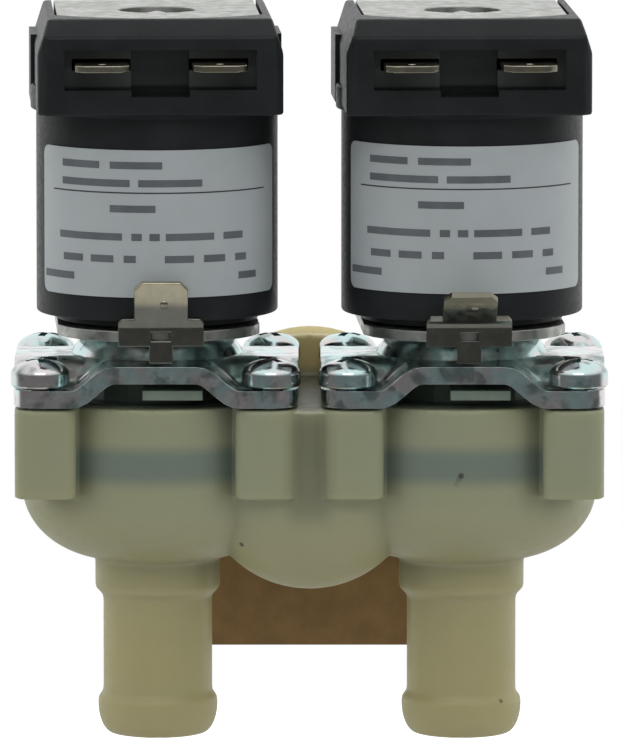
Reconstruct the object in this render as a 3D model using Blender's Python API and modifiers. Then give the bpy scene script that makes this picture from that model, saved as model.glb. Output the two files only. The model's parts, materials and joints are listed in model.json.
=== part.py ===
"""Double solenoid water valve: one moulded body, two diaphragm valves, two coils.

Units are metres, +Z is up and +Y points to the back, where the hose of the supply screws on.
The origin is on the back of the mounting plate, midway between its two fixing holes.
Heights called *_Z in the valve's own frame count from the underside of the cover plates.
"""

import math

import bmesh
import bpy
from mathutils import Matrix, Vector

# Clearances
SEAT_GAP = 0.0003
BORE_GAP = 0.0003
SLIDE_GAP = 0.0003

# Layout
VALVE_CLEARANCE = 0.0026
TOP_ABOVE_HOLES = 0.0270
COIL_YAW = math.radians(2.5)

# Valve chamber of the body
CHAMBER_RADIUS = 0.0160
CHAMBER_BORE_RADIUS = 0.0126
BODY_TOP_Z = -SEAT_GAP
MACHINING_ALLOWANCE = 0.0012
BOWL_TOP_Z = -0.0112
BOWL_BOTTOM_Z = -0.0196
BOWL_FLAT_RADIUS = 0.0058
RIM_LEDGE_Z = -0.0092
RIM_LEDGE_WIDTH = 0.0017
RING_CHANNEL_Z = -0.0155
SEAT_Z = -0.0074
SEAT_RADIUS = 0.0063
OUTLET_BORE_RADIUS = 0.0049

# Screw bosses
SCREW_FROM_EDGE = 0.0032
BOSS_INSET = 0.0002
BOSS_WIDTH = 0.0072
BOSS_BOTTOM_Z = -0.0108
BOSS_ROUND = 0.0018
SCREW_HOLE_DEPTH = 0.0092
PILOT_RADIUS = 0.0017

# Hose nozzles
NOZZLE_RADIUS = 0.00645
NOZZLE_COLLAR_RADIUS = 0.0074
NOZZLE_COLLAR_Z = -0.0232
BARB_RADIUS = 0.0071
BARB_Z = -0.0364
BARB_LAND = 0.0006
BARB_SHOULDER = 0.0008
NOZZLE_END_Z = -0.0407
NOZZLE_END_RADIUS = 0.0053

# Inlet barrel, its axis runs along Y
INLET_AXIS_Z = -0.0094
BARREL_RADIUS = 0.0132
BARREL_FRONT_Y = -0.0152
BARREL_NOSE_LENGTH = 0.0088
INLET_WALL_RADIUS = 0.0142
INLET_WALL_Y = 0.0170
INLET_WALL_THICKNESS = 0.0030
NECK_RADIUS = 0.0120
THREAD_RADIUS = 0.01322
THREAD_LENGTH = 0.0140
INLET_BORE_RADIUS = 0.0102
INLET_BORE_DEPTH = 0.0150
FEED_RADIUS = 0.0042
FEED_END_Y = -0.0035
PORT_RADIUS = 0.0026
PORT_Z = -0.0124
PORT_Y = 0.0020

# Web between the two chambers
WEB_HALF_WIDTH = 0.0070
WEB_TOP_Z = -0.0006
WEB_BOTTOM_Z = -0.0101
WEB_FRONT_Y = -0.0150

# Mounting plate, a fork that straddles the inlet neck
PLATE_THICKNESS = 0.0030
PLATE_HALF_WIDTH = 0.0210
PLATE_BELOW_HOLES = 0.00625
PLATE_ARM_TOP_Z = -0.0020
PLATE_CORNER = 0.0025
FIXING_SPACING = 0.0320
FIXING_RADIUS = 0.00225

# Cover plate
COVER_SHEET = 0.0020
COVER_HALF_WIDTH = 0.0167
COVER_RAISE = 0.00285
COVER_CUP_HEIGHT = 0.0070
COVER_CUP_RADIUS = 0.0086
COVER_CUP_HOLE = 0.0049
COVER_SLOPE_START = 0.0049
COVER_SLOPE_END = 0.0093
COVER_CORNER_POWER = 12
COVER_SPREAD = (0.25, 0.55, 1.0)
COVER_SCREW_HOLE_RADIUS = 0.0022

# Screws
SCREW_HEAD_RADIUS = 0.00345
SCREW_HEAD_HEIGHT = 0.0032
SCREW_RIM_HEIGHT = 0.0014
SCREW_SHANK_RADIUS = PILOT_RADIUS - BORE_GAP
SCREW_END_Z = -0.0085
RECESS_SPAN = 0.0034
RECESS_WIDTH = 0.0009
RECESS_DEPTH = 0.0014

# Moulded insert between the cover plate and the diaphragm
INSERT_RADIUS = CHAMBER_BORE_RADIUS - BORE_GAP
INSERT_STEP_RADIUS = 0.0088
INSERT_STEP_Z = 0.0021
INSERT_HUB_RADIUS = 0.0071
INSERT_HUB_Z = 0.0038
INSERT_ROOF_Z = -0.0018
INSERT_LIP = 0.0005
TONGUE_WIDTH = 0.0070
TONGUE_OFFSET = 0.0020
TONGUE_FRONT_Y = -0.0153
TONGUE_BOTTOM_Z = 0.0008
TONGUE_TOP_Z = 0.0019

# Diaphragm and its hub
RIM_HEIGHT = 0.0037
DIAPHRAGM_THICKNESS = 0.0012
DIAPHRAGM_HOLE = 0.0030
DIAPHRAGM_FLAT_RADIUS = 0.0082
FOLD_HEIGHT = 0.0012
HUB_FLANGE_RADIUS = 0.0056
HUB_FLANGE = 0.0010
HUB_STEM_RADIUS = DIAPHRAGM_HOLE - BORE_GAP
HUB_STEM_END_Z = -0.0110
PILOT_SEAT_Z = -0.0032
PILOT_SEAT_RADIUS = 0.0012
PILOT_BORE_RADIUS = 0.0005

# Guide tube, core and armature
TUBE_RADIUS = 0.0044
TUBE_WALL = 0.0004
TUBE_FLANGE_RADIUS = 0.0066
TUBE_FLANGE = 0.0006
TUBE_TOP_Z = 0.0440
CORE_BOTTOM_Z = 0.0183
RIVET_RADIUS = 0.0016
RIVET_TOP_Z = 0.0452
STROKE = 0.0021
ARMATURE_FOOT_Z = -0.0024
SPRING_POCKET_RADIUS = 0.0024
SPRING_POCKET_DEPTH = 0.0056
SPRING_RADIUS = 0.0018
SPRING_WIRE_RADIUS = 0.00025
SPRING_TURNS = 4.5
PAD_RADIUS = 0.0017
PAD_DEPTH = 0.0017
O_RING_RADIUS = 0.0056
O_RING_SECTION = 0.0005

# Coil
COIL_RADIUS = 0.01425
COIL_BOTTOM_Z = 0.0098
COIL_EDGE = 0.0004
COIL_NECK_RADIUS = 0.0119
COLLAR_RADIUS = 0.0149
COLLAR_BOTTOM_Z = 0.0338
COLLAR_TOP_Z = 0.0366
HEAD_HALF_WIDTH = 0.01435
HEAD_TOP_HALF_WIDTH = 0.0131
HEAD_SHOULDER_Z = 0.0414
HEAD_TOP_Z = 0.04535
HEAD_FRONT_Y = -0.0159
HEAD_BACK_Y = 0.0144
HEAD_BEVEL_Z = 0.0434
HEAD_BEVEL_Y = -0.0132
HEAD_CORNER = 0.0010
WING_OUT = 0.0005
WING_FRONT_Y = 0.0030
WING_TOP_Z = 0.0422
POCKET_HALF_WIDTH = 0.0112
POCKET_TOP_Z = 0.0419
POCKET_BOTTOM_Z = 0.0372
POCKET_DEPTH = 0.0026
KEYWAY_HALF_WIDTH = 0.0034
KEYWAY_DEPTH = 0.0048
KEYWAY_BOTTOM_Z = 0.0364

# Blade terminals
BLADE_WIDTH = 0.0063
BLADE_THICKNESS = 0.0008
BLADE_OFFSET = 0.00685
BLADE_Z = 0.0400
BLADE_TIP_Y = -0.0198
BLADE_ROOT_Y = -0.0085
BLADE_TIP_CHAMFER = 0.0010
BLADE_HOLE_RADIUS = 0.0006
BLADE_HOLE_FROM_TIP = 0.0024

# Yoke
YOKE_SHEET = 0.0013
YOKE_HALF_WIDTH = 0.0119
YOKE_LOWER_TOP_Z = 0.0087
YOKE_FRONT_Y = -0.0143
YOKE_FRONT_ARC = 0.0123
YOKE_LID_FRONT_Y = -0.0126
YOKE_LID_ARC = 0.0160
YOKE_BEND_RADIUS = 0.0008
YOKE_HOLE_RADIUS = TUBE_RADIUS + BORE_GAP

# Earth tab
TAB_SHEET = 0.0008
TAB_LEG_HALF_WIDTH = 0.0014
TAB_LEG_BOTTOM_Z = 0.0051
TAB_BODY_HALF_WIDTH = 0.0050
TAB_BODY_BOTTOM_Z = 0.0071
TAB_SHOULDER_Z = 0.0104
TAB_LENGTH = 0.0098
TAB_FOLD_Z = 0.0092
TAB_FOLD_RADIUS = 0.0010
TAB_LEAN = {"left": math.radians(14), "right": math.radians(46)}
TAB_TIP_CHAMFER = 0.0009
TAB_SLOT_HALF_WIDTH = 0.0011
TAB_SLOT_Z = (0.00775, 0.0088)

# Label
LABEL_SHEET = 0.00015
LABEL_GAP = 0.00010
LABEL_BOTTOM_Z = 0.0126
LABEL_TOP_Z = 0.0299
LABEL_HALF_ANGLE = math.radians(70)
LABEL_CORNER = 0.0011
LABEL_RAISE = {"left": 0.00015, "right": 0.0006}

# Strainer in the inlet
STRAINER_RIM = 0.0012
STRAINER_RADIUS = 0.0078
STRAINER_WALL = 0.0008
STRAINER_LENGTH = 0.0115
STRAINER_SLOT_WIDTH = 0.0016
STRAINER_SLOT_MARGIN = 0.0018
STRAINER_SLOTS = 10
STRAINER_INSET = 0.0015

# Facets
BODY_STEPS = 28
BORE_STEPS = 16
COIL_STEPS = 32
INNER_STEPS = 12
SMALL_STEPS = 12
COVER_STEPS = 40
ARC_STEPS = 4
ROUND_STEPS = 2
SPRING_POINTS_PER_TURN = 6
MERGE_DISTANCE = 0.000001

# Values that follow from the ones above
VALVE_PITCH = 2 * max(COVER_HALF_WIDTH, HEAD_HALF_WIDTH + WING_OUT) + VALVE_CLEARANCE
SCREW_OFFSET = COVER_HALF_WIDTH - SCREW_FROM_EDGE
BOSS_OUTER = COVER_HALF_WIDTH - BOSS_INSET
RIM_LEDGE_RADIUS = CHAMBER_BORE_RADIUS - RIM_LEDGE_WIDTH
INSERT_ROOM_RADIUS = RIM_LEDGE_RADIUS - INSERT_LIP
PLATE_FRONT_Y = INLET_WALL_Y + INLET_WALL_THICKNESS + SEAT_GAP
PLATE_BACK_Y = PLATE_FRONT_Y + PLATE_THICKNESS
THREAD_START_Y = PLATE_BACK_Y + SEAT_GAP
INLET_END_Y = THREAD_START_Y + THREAD_LENGTH
HOLES_Z = -TOP_ABOVE_HOLES
SCREW_SEAT_Z = COVER_SHEET + SEAT_GAP
DIAPHRAGM_Z = SEAT_Z + SEAT_GAP
HUB_FLANGE_Z = DIAPHRAGM_Z + DIAPHRAGM_THICKNESS + SEAT_GAP
RIM_BOTTOM_Z = RIM_LEDGE_Z + SEAT_GAP
RIM_TOP_Z = RIM_BOTTOM_Z + RIM_HEIGHT
INSERT_BOTTOM_Z = RIM_TOP_Z + SEAT_GAP
FLANGE_Z = INSERT_HUB_Z + SEAT_GAP
TUBE_BORE_RADIUS = TUBE_RADIUS - TUBE_WALL
ARMATURE_RADIUS = TUBE_BORE_RADIUS - SLIDE_GAP
ARMATURE_TOP_Z = CORE_BOTTOM_Z - SEAT_GAP - STROKE
LID_BOTTOM_Z = HEAD_TOP_Z - YOKE_SHEET
YOKE_LEG_Y = HEAD_BACK_Y + SEAT_GAP
LABEL_RADIUS = COIL_RADIUS + LABEL_GAP


def clear_scene():
    for obj in list(bpy.data.objects):
        bpy.data.objects.remove(obj, do_unlink=True)


def make_collection(name):
    collection = bpy.data.collections.new(name)
    bpy.context.scene.collection.children.link(collection)
    return collection


def make_material(name, color, roughness, metallic=0.0):
    material = bpy.data.materials.new(name)
    material.use_nodes = True
    shader = material.node_tree.nodes["Principled BSDF"]
    shader.inputs["Base Color"].default_value = (*color, 1.0)
    shader.inputs["Roughness"].default_value = roughness
    shader.inputs["Metallic"].default_value = metallic
    return material


def make_empty(name, parent=None, location=(0, 0, 0), turn=0.0):
    empty = bpy.data.objects.new(name, None)
    PARTS.objects.link(empty)
    empty.parent = parent
    empty.location = location
    empty.rotation_euler = (0, 0, turn)
    return empty


def add_object(name, mesh, parent, material=None, location=(0, 0, 0)):
    """Link a mesh as a part, or as a cutter if it has no material."""
    obj = bpy.data.objects.new(name, mesh)
    obj.parent = parent
    obj.location = location
    if material is None:
        CUTTERS.objects.link(obj)
        obj.hide_render = True
        obj.display_type = "WIRE"
    else:
        PARTS.objects.link(obj)
        obj.data.materials.clear()
        obj.data.materials.append(material)
    return obj


def mesh_from_bmesh(name, bm):
    bmesh.ops.recalc_face_normals(bm, faces=bm.faces)
    mesh = bpy.data.meshes.new(name)
    bm.to_mesh(mesh)
    bm.free()
    mesh.shade_smooth()
    mesh.set_sharp_from_angle(angle=math.radians(35))
    return mesh


def turned(name, profile, steps, parent, material=None, location=(0, 0, 0), along_y=False):
    """Turn a profile of (radius, height) points about its axis.

    The outer side of the profile runs from top to bottom. A profile that ends off the axis
    is closed into a ring.
    """
    mesh = bpy.data.meshes.new(name)
    points = [(radius, 0, height) for radius, height in profile]
    edges = [(i, i + 1) for i in range(len(points) - 1)]
    on_axis = profile[0][0] < MERGE_DISTANCE
    if not on_axis:
        edges.append((len(points) - 1, 0))
    mesh.from_pydata(points, edges, [])
    obj = add_object(name, mesh, parent, material, location)
    if along_y:
        obj.rotation_euler = (math.radians(-90), 0, 0)
    screw = obj.modifiers.new("turn", "SCREW")
    screw.axis = "Z"
    screw.angle = math.tau
    screw.steps = steps
    screw.render_steps = steps
    screw.use_merge_vertices = True
    screw.merge_threshold = MERGE_DISTANCE
    screw.use_smooth_shade = True
    return obj


def arc(center, radii, start, end, steps=ARC_STEPS):
    """Points of an elliptical arc in the profile plane; angles in degrees from the +r axis."""
    points = []
    for i in range(steps + 1):
        angle = math.radians(start + (end - start) * i / steps)
        points.append((center[0] + radii[0] * math.cos(angle), center[1] + radii[1] * math.sin(angle)))
    return points


def add_box(bm, low, high, round_edges=0.0, segments=2):
    """Add a box between two corners, with its upright edges rounded."""
    size = Vector(high) - Vector(low)
    middle = (Vector(high) + Vector(low)) / 2
    made = bmesh.ops.create_cube(bm, size=1.0, matrix=Matrix.Translation(middle) @ Matrix.Diagonal((*size, 1)))
    if round_edges > 0:
        edges = {edge for vert in made["verts"] for edge in vert.link_edges}
        upright = [edge for edge in edges if abs((edge.verts[0].co - edge.verts[1].co).z) > MERGE_DISTANCE]
        bmesh.ops.bevel(bm, geom=upright, offset=round_edges, segments=segments, affect="EDGES", profile=0.5)


def add_cylinder(bm, radius, start, end, steps):
    """Add a cylinder between two points."""
    start = Vector(start)
    end = Vector(end)
    turn = (end - start).to_track_quat("Z", "Y").to_matrix().to_4x4()
    place = Matrix.Translation((start + end) / 2) @ turn
    bmesh.ops.create_cone(
        bm, cap_ends=True, segments=steps, radius1=radius, radius2=radius, depth=(end - start).length, matrix=place
    )


def box_object(name, low, high, parent, material=None, round_edges=0.0):
    bm = bmesh.new()
    add_box(bm, low, high, round_edges)
    return add_object(name, mesh_from_bmesh(name, bm), parent, material)


def cylinder_object(name, radius, start, end, steps, parent):
    bm = bmesh.new()
    add_cylinder(bm, radius, start, end, steps)
    return add_object(name, mesh_from_bmesh(name, bm), parent)


def extruded(bm, outline, depth):
    """Extrude a flat outline of 3-D points by a depth vector."""
    face = bm.faces.new([bm.verts.new(point) for point in outline])
    made = bmesh.ops.extrude_face_region(bm, geom=[face])
    moved = [item for item in made["geom"] if isinstance(item, bmesh.types.BMVert)]
    bmesh.ops.translate(bm, verts=moved, vec=depth)


def boolean(obj, cutter, operation="DIFFERENCE"):
    modifier = obj.modifiers.new(f"{operation.lower()} {cutter.name}", "BOOLEAN")
    modifier.operation = operation
    modifier.solver = "EXACT"
    modifier.object = cutter


def boolean_all(obj, title, cutters, operation="DIFFERENCE"):
    """Join or cut with several objects in one step, which rounds the result only once."""
    group = bpy.data.collections.new(title)
    CUTTERS.children.link(group)
    for cutter in cutters:
        CUTTERS.objects.unlink(cutter)
        group.objects.link(cutter)
    modifier = obj.modifiers.new(f"{operation.lower()} {title}", "BOOLEAN")
    modifier.operation = operation
    modifier.solver = "EXACT"
    modifier.operand_type = "COLLECTION"
    modifier.collection = group


def corner_points(offset):
    return [(sx * offset, sy * offset) for sx in (-1, 1) for sy in (-1, 1)]


def bent_point(across, along, depth, start, bends):
    """Place a point of a flat sheet on its bent path in the YZ plane.

    The path starts at start heading +Y; each bend is (distance along, inner radius, angle), and
    turns the heading towards +Z. depth counts from the inner face outwards.
    """
    y, z = start
    heading = 0.0
    walked = 0.0
    for bend_at, radius, angle in bends:
        straight = min(along, bend_at) - walked
        y += straight * math.cos(heading)
        z += straight * math.sin(heading)
        walked += straight
        if along <= bend_at:
            break
        turned_by = min((along - bend_at) / radius, angle)
        center = (y - radius * math.sin(heading), z + radius * math.cos(heading))
        heading += turned_by
        y = center[0] + radius * math.sin(heading)
        z = center[1] - radius * math.cos(heading)
        walked += turned_by * radius
        if turned_by < angle:
            break
    rest = along - walked
    y += rest * math.cos(heading) + depth * math.sin(heading)
    z += rest * math.sin(heading) - depth * math.cos(heading)
    return Vector((across, y, z))


def bent_sheet(name, outline, thickness, start, bends):
    """Make a sheet-metal piece from a flat outline of (across, along) points."""
    bm = bmesh.new()
    extruded(bm, [(across, along, 0) for across, along in outline], (0, 0, thickness))
    for bend_at, radius, angle in bends:
        for i in range(ARC_STEPS):
            cut_at = bend_at + radius * angle * i / (ARC_STEPS - 1)
            geometry = bm.verts[:] + bm.edges[:] + bm.faces[:]
            bmesh.ops.bisect_plane(
                bm, geom=geometry, dist=MERGE_DISTANCE, plane_co=(0, cut_at, 0), plane_no=(0, 1, 0)
            )
    for vert in bm.verts:
        vert.co = bent_point(vert.co.x, vert.co.y, vert.co.z, start, bends)
    return mesh_from_bmesh(name, bm)


def chamber_profile():
    """Outer form of one valve chamber with its bowl, collar and hose nozzle."""
    bowl = arc(
        (BOWL_FLAT_RADIUS, BOWL_TOP_Z),
        (CHAMBER_RADIUS - BOWL_FLAT_RADIUS, BOWL_TOP_Z - BOWL_BOTTOM_Z),
        0,
        -78,
    )
    nose = arc(
        (NOZZLE_END_RADIUS, BARB_Z - BARB_LAND),
        (BARB_RADIUS - NOZZLE_END_RADIUS, BARB_Z - BARB_LAND - NOZZLE_END_Z),
        0,
        -90,
    )
    chamfer = NOZZLE_COLLAR_RADIUS - NOZZLE_RADIUS
    top = BODY_TOP_Z + MACHINING_ALLOWANCE
    return [
        (0, top),
        (CHAMBER_RADIUS, top),
        *bowl,
        (NOZZLE_COLLAR_RADIUS, BOWL_BOTTOM_Z),
        (NOZZLE_COLLAR_RADIUS, NOZZLE_COLLAR_Z),
        (NOZZLE_RADIUS, NOZZLE_COLLAR_Z - chamfer),
        (NOZZLE_RADIUS, BARB_Z + BARB_SHOULDER),
        (BARB_RADIUS, BARB_Z),
        *nose,
        (0, NOZZLE_END_Z),
    ]


def cavity_profile():
    """Hollow of one valve chamber: insert bore, rim ledge, ring channel and outlet bore."""
    above = BODY_TOP_Z + CHAMBER_BORE_RADIUS
    below = NOZZLE_END_Z - OUTLET_BORE_RADIUS
    fillet = (RIM_LEDGE_RADIUS - SEAT_RADIUS) / 4
    return [
        (0, above),
        (CHAMBER_BORE_RADIUS, above),
        (CHAMBER_BORE_RADIUS, RIM_LEDGE_Z),
        (RIM_LEDGE_RADIUS, RIM_LEDGE_Z),
        (RIM_LEDGE_RADIUS, RING_CHANNEL_Z + fillet),
        (RIM_LEDGE_RADIUS - fillet, RING_CHANNEL_Z),
        (SEAT_RADIUS + fillet, RING_CHANNEL_Z),
        (SEAT_RADIUS, RING_CHANNEL_Z + fillet),
        (SEAT_RADIUS, SEAT_Z),
        (OUTLET_BORE_RADIUS, SEAT_Z),
        (OUTLET_BORE_RADIUS, below),
        (0, below),
    ]


def barrel_profile():
    """Inlet barrel from its rounded front to the threaded end; heights are along Y."""
    nose = arc(
        (0, BARREL_FRONT_Y + BARREL_NOSE_LENGTH),
        (BARREL_RADIUS, BARREL_NOSE_LENGTH),
        0,
        -90,
        ARC_STEPS + 2,
    )
    chamfer = THREAD_RADIUS - NECK_RADIUS
    return [
        (0, INLET_END_Y),
        (THREAD_RADIUS - chamfer, INLET_END_Y),
        (THREAD_RADIUS, INLET_END_Y - chamfer),
        (THREAD_RADIUS, THREAD_START_Y),
        (NECK_RADIUS, THREAD_START_Y),
        (NECK_RADIUS, PLATE_FRONT_Y - SEAT_GAP),
        (INLET_WALL_RADIUS, PLATE_FRONT_Y - SEAT_GAP),
        (INLET_WALL_RADIUS, INLET_WALL_Y),
        (BARREL_RADIUS, INLET_WALL_Y),
        *nose[:-1],
        (0, BARREL_FRONT_Y),
    ]


def feed_profile():
    """Hollow of the inlet: strainer bore, then the feed bore with a rounded end."""
    outside = INLET_END_Y + INLET_BORE_RADIUS
    bore_end = INLET_END_Y - INLET_BORE_DEPTH
    cone = INLET_BORE_RADIUS - FEED_RADIUS
    end = arc((0, FEED_END_Y + FEED_RADIUS), (FEED_RADIUS, FEED_RADIUS), 0, -90)
    return [
        (0, outside),
        (INLET_BORE_RADIUS, outside),
        (INLET_BORE_RADIUS, bore_end),
        (FEED_RADIUS, bore_end - cone),
        *end[:-1],
        (0, FEED_END_Y),
    ]


def bosses_mesh():
    """Four screw bosses of one valve."""
    bm = bmesh.new()
    inner = BOSS_OUTER - BOSS_WIDTH
    top = BODY_TOP_Z + 2 * MACHINING_ALLOWANCE
    for sx, sy in corner_points(1):
        xs = sorted((sx * inner, sx * BOSS_OUTER))
        ys = sorted((sy * inner, sy * BOSS_OUTER))
        add_box(bm, (xs[0], ys[0], BOSS_BOTTOM_Z), (xs[1], ys[1], top), BOSS_ROUND)
    return mesh_from_bmesh("bosses", bm)


def screw_holes_mesh():
    bm = bmesh.new()
    for x, y in corner_points(SCREW_OFFSET):
        ends = ((x, y, BODY_TOP_Z - SCREW_HOLE_DEPTH), (x, y, BODY_TOP_Z + PILOT_RADIUS))
        add_cylinder(bm, PILOT_RADIUS, *ends, SMALL_STEPS)
    return mesh_from_bmesh("screw_holes", bm)


def build_body(valves):
    """The cream moulding: chambers, bosses, barrel and web joined, then all hollows cut."""
    side = VALVE_PITCH / 2
    body = box_object(
        "valve_body",
        (-WEB_HALF_WIDTH, WEB_FRONT_Y, WEB_BOTTOM_Z),
        (WEB_HALF_WIDTH, INLET_WALL_Y + INLET_WALL_THICKNESS / 2, WEB_TOP_Z),
        DATUM,
        CREAM,
    )
    axis_at = (0, 0, INLET_AXIS_Z)
    reach = side + 2 * BOSS_OUTER
    trim_low = (-reach, -2 * BOSS_OUTER, BODY_TOP_Z)
    trim_high = (reach, INLET_WALL_Y, BODY_TOP_Z + BARREL_RADIUS)
    port_reach = side - (SEAT_RADIUS + RIM_LEDGE_RADIUS) / 2
    port = ((-port_reach, PORT_Y, PORT_Z), (port_reach, PORT_Y, PORT_Z))

    forms = [turned("barrel", barrel_profile(), BODY_STEPS, DATUM, None, axis_at, True)]
    hollows = [
        box_object("top_trim", trim_low, trim_high, DATUM),
        turned("feed", feed_profile(), BORE_STEPS, DATUM, None, axis_at, True),
        cylinder_object("ports", PORT_RADIUS, *port, SMALL_STEPS, DATUM),
    ]
    for name, valve in valves.items():
        forms.append(turned(f"chamber_{name}", chamber_profile(), BODY_STEPS, valve))
        forms.append(add_object(f"bosses_{name}", bosses_mesh(), valve))
        hollows.append(turned(f"cavity_{name}", cavity_profile(), BORE_STEPS, valve))
        hollows.append(add_object(f"screw_holes_{name}", screw_holes_mesh(), valve))
    boolean_all(body, "body_forms", forms, "UNION")
    boolean_all(body, "body_hollows", hollows)


def build_mounting_plate():
    """A fork-shaped plate, pushed up over the inlet neck into its groove."""
    bottom = HOLES_Z - PLATE_BELOW_HOLES
    low = (-PLATE_HALF_WIDTH, -PLATE_THICKNESS / 2, bottom)
    high = (PLATE_HALF_WIDTH, PLATE_THICKNESS / 2, PLATE_ARM_TOP_Z)
    outline = rounded_rectangle(low[0], low[2], high[0], high[2], PLATE_CORNER)
    bm = bmesh.new()
    extruded(bm, [(x, PLATE_FRONT_Y, z) for x, z in outline], (0, PLATE_THICKNESS, 0))
    plate = add_object("mounting_plate", mesh_from_bmesh("mounting_plate", bm), DATUM, BROWN)

    slot = NECK_RADIUS + BORE_GAP
    before = PLATE_FRONT_Y - PLATE_THICKNESS
    behind = PLATE_BACK_Y + PLATE_THICKNESS
    mouth = arc((0, INLET_AXIS_Z), (slot, slot), 180, 360, 2 * ARC_STEPS)
    mouth += [(slot, PLATE_ARM_TOP_Z + slot), (-slot, PLATE_ARM_TOP_Z + slot)]
    bm = bmesh.new()
    extruded(bm, [(x, before, z) for x, z in mouth], (0, behind - before, 0))
    boolean(plate, add_object("fork_slot", mesh_from_bmesh("fork_slot", bm), DATUM))

    bm = bmesh.new()
    for x in (-FIXING_SPACING / 2, FIXING_SPACING / 2):
        add_cylinder(bm, FIXING_RADIUS, (x, before, HOLES_Z), (x, behind, HOLES_Z), SMALL_STEPS)
    boolean(plate, add_object("fixing_holes", mesh_from_bmesh("fixing_holes", bm), DATUM))


def rounded_rectangle(x0, z0, x1, z1, radius, steps=ROUND_STEPS):
    points = arc((x1 - radius, z1 - radius), (radius, radius), 0, 90, steps)
    points += arc((x0 + radius, z1 - radius), (radius, radius), 90, 180, steps)
    points += arc((x0 + radius, z0 + radius), (radius, radius), 180, 270, steps)
    points += arc((x1 - radius, z0 + radius), (radius, radius), 270, 360, steps)
    return points


def build_strainer():
    """A filter basket with a rim, pushed into the inlet bore, open at the hose end."""
    rim = INLET_BORE_RADIUS - BORE_GAP
    back = INLET_END_Y - STRAINER_INSET
    front = back - STRAINER_LENGTH
    bore = STRAINER_RADIUS - STRAINER_WALL
    profile = [
        (0, front + STRAINER_WALL),
        (bore, front + STRAINER_WALL),
        (bore, back),
        (rim, back),
        (rim, back - STRAINER_RIM),
        (STRAINER_RADIUS, back - STRAINER_RIM),
        (STRAINER_RADIUS, front),
        (0, front),
    ]
    axis_at = (0, 0, INLET_AXIS_Z)
    strainer = turned("inlet_strainer", profile, BORE_STEPS, DATUM, WHITE_PLASTIC, axis_at, True)

    bm = bmesh.new()
    start = front + STRAINER_SLOT_MARGIN
    end = back - STRAINER_RIM - STRAINER_SLOT_MARGIN
    half = STRAINER_SLOT_WIDTH / 2
    for i in range(STRAINER_SLOTS):
        before = len(bm.verts)
        add_box(bm, (-half, start, bore - STRAINER_WALL), (half, end, STRAINER_RADIUS + STRAINER_WALL))
        bm.verts.ensure_lookup_table()
        turn = Matrix.Rotation(math.tau * i / STRAINER_SLOTS, 4, "Y")
        bmesh.ops.transform(bm, matrix=turn, verts=bm.verts[before:])
    slots = add_object("basket_slots", mesh_from_bmesh("basket_slots", bm), DATUM, None, axis_at)
    boolean(strainer, slots)


def slope(distance):
    """0 in the raised middle of the cover plate, 1 on the low pads."""
    part = (abs(distance) - COVER_SLOPE_START) / (COVER_SLOPE_END - COVER_SLOPE_START)
    part = min(max(part, 0.0), 1.0)
    return part * part * (3 - 2 * part)


def cover_height(x, y):
    """Middle of the sheet: raised in a cross, low at the four screw pads."""
    return COVER_SHEET / 2 + COVER_RAISE * (1 - slope(x) * slope(y))


def cover_rings():
    """Rings of the cover plate's middle sheet: (radius, height), before it spreads to a square."""
    top = COVER_CUP_HEIGHT - COVER_SHEET / 2
    foot = COVER_SHEET / 2 + COVER_RAISE
    fall = (top - foot) / 2
    return [
        (COVER_CUP_HOLE, top),
        (COVER_CUP_RADIUS - fall, top),
        (COVER_CUP_RADIUS, top - fall / 2),
        (COVER_CUP_RADIUS + fall / 2, foot + fall / 2),
        (COVER_CUP_RADIUS + fall * 1.5, foot),
    ]


def cover_mesh():
    """Pressed plate: a ringed cup that spreads into a square sheet with low corners."""
    bm = bmesh.new()
    rings = []
    for radius, height in cover_rings():
        ring = []
        for i in range(COVER_STEPS):
            angle = math.tau * i / COVER_STEPS
            ring.append(bm.verts.new((radius * math.cos(angle), radius * math.sin(angle), height)))
        rings.append(ring)
    start = cover_rings()[-1][0]
    power = COVER_CORNER_POWER
    for part in COVER_SPREAD:
        ring = []
        for i in range(COVER_STEPS):
            angle = math.tau * i / COVER_STEPS
            cos = math.cos(angle)
            sin = math.sin(angle)
            edge = COVER_HALF_WIDTH / (abs(cos) ** power + abs(sin) ** power) ** (1 / power)
            radius = start + (edge - start) * part
            x = radius * cos
            y = radius * sin
            ring.append(bm.verts.new((x, y, cover_height(x, y))))
        rings.append(ring)
    for inner, outer in zip(rings, rings[1:]):
        for i in range(COVER_STEPS):
            j = (i + 1) % COVER_STEPS
            bm.faces.new((inner[i], outer[i], outer[j], inner[j]))
    return mesh_from_bmesh("cover_plate", bm)


def build_cover(name, valve):
    cover = add_object(f"cover_plate_{name}", cover_mesh(), valve, ZINC)
    sheet = cover.modifiers.new("sheet", "SOLIDIFY")
    sheet.thickness = COVER_SHEET
    sheet.offset = 0
    sheet.use_even_offset = True
    bm = bmesh.new()
    for x, y in corner_points(SCREW_OFFSET):
        low = (x, y, -COVER_SHEET)
        add_cylinder(bm, COVER_SCREW_HOLE_RADIUS, low, (x, y, 2 * COVER_SHEET), SMALL_STEPS)
    holes = add_object(f"cover_holes_{name}", mesh_from_bmesh("cover_holes", bm), valve)
    boolean(cover, holes)


def screw_profile():
    dome = arc(
        (0, SCREW_RIM_HEIGHT),
        (SCREW_HEAD_RADIUS, SCREW_HEAD_HEIGHT - SCREW_RIM_HEIGHT),
        90,
        0,
        ROUND_STEPS,
    )
    end = SCREW_END_Z - SCREW_SEAT_Z
    return [
        *dome,
        (SCREW_HEAD_RADIUS, 0),
        (SCREW_SHANK_RADIUS, 0),
        (SCREW_SHANK_RADIUS, end + SCREW_SHANK_RADIUS),
        (0, end),
    ]


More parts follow.
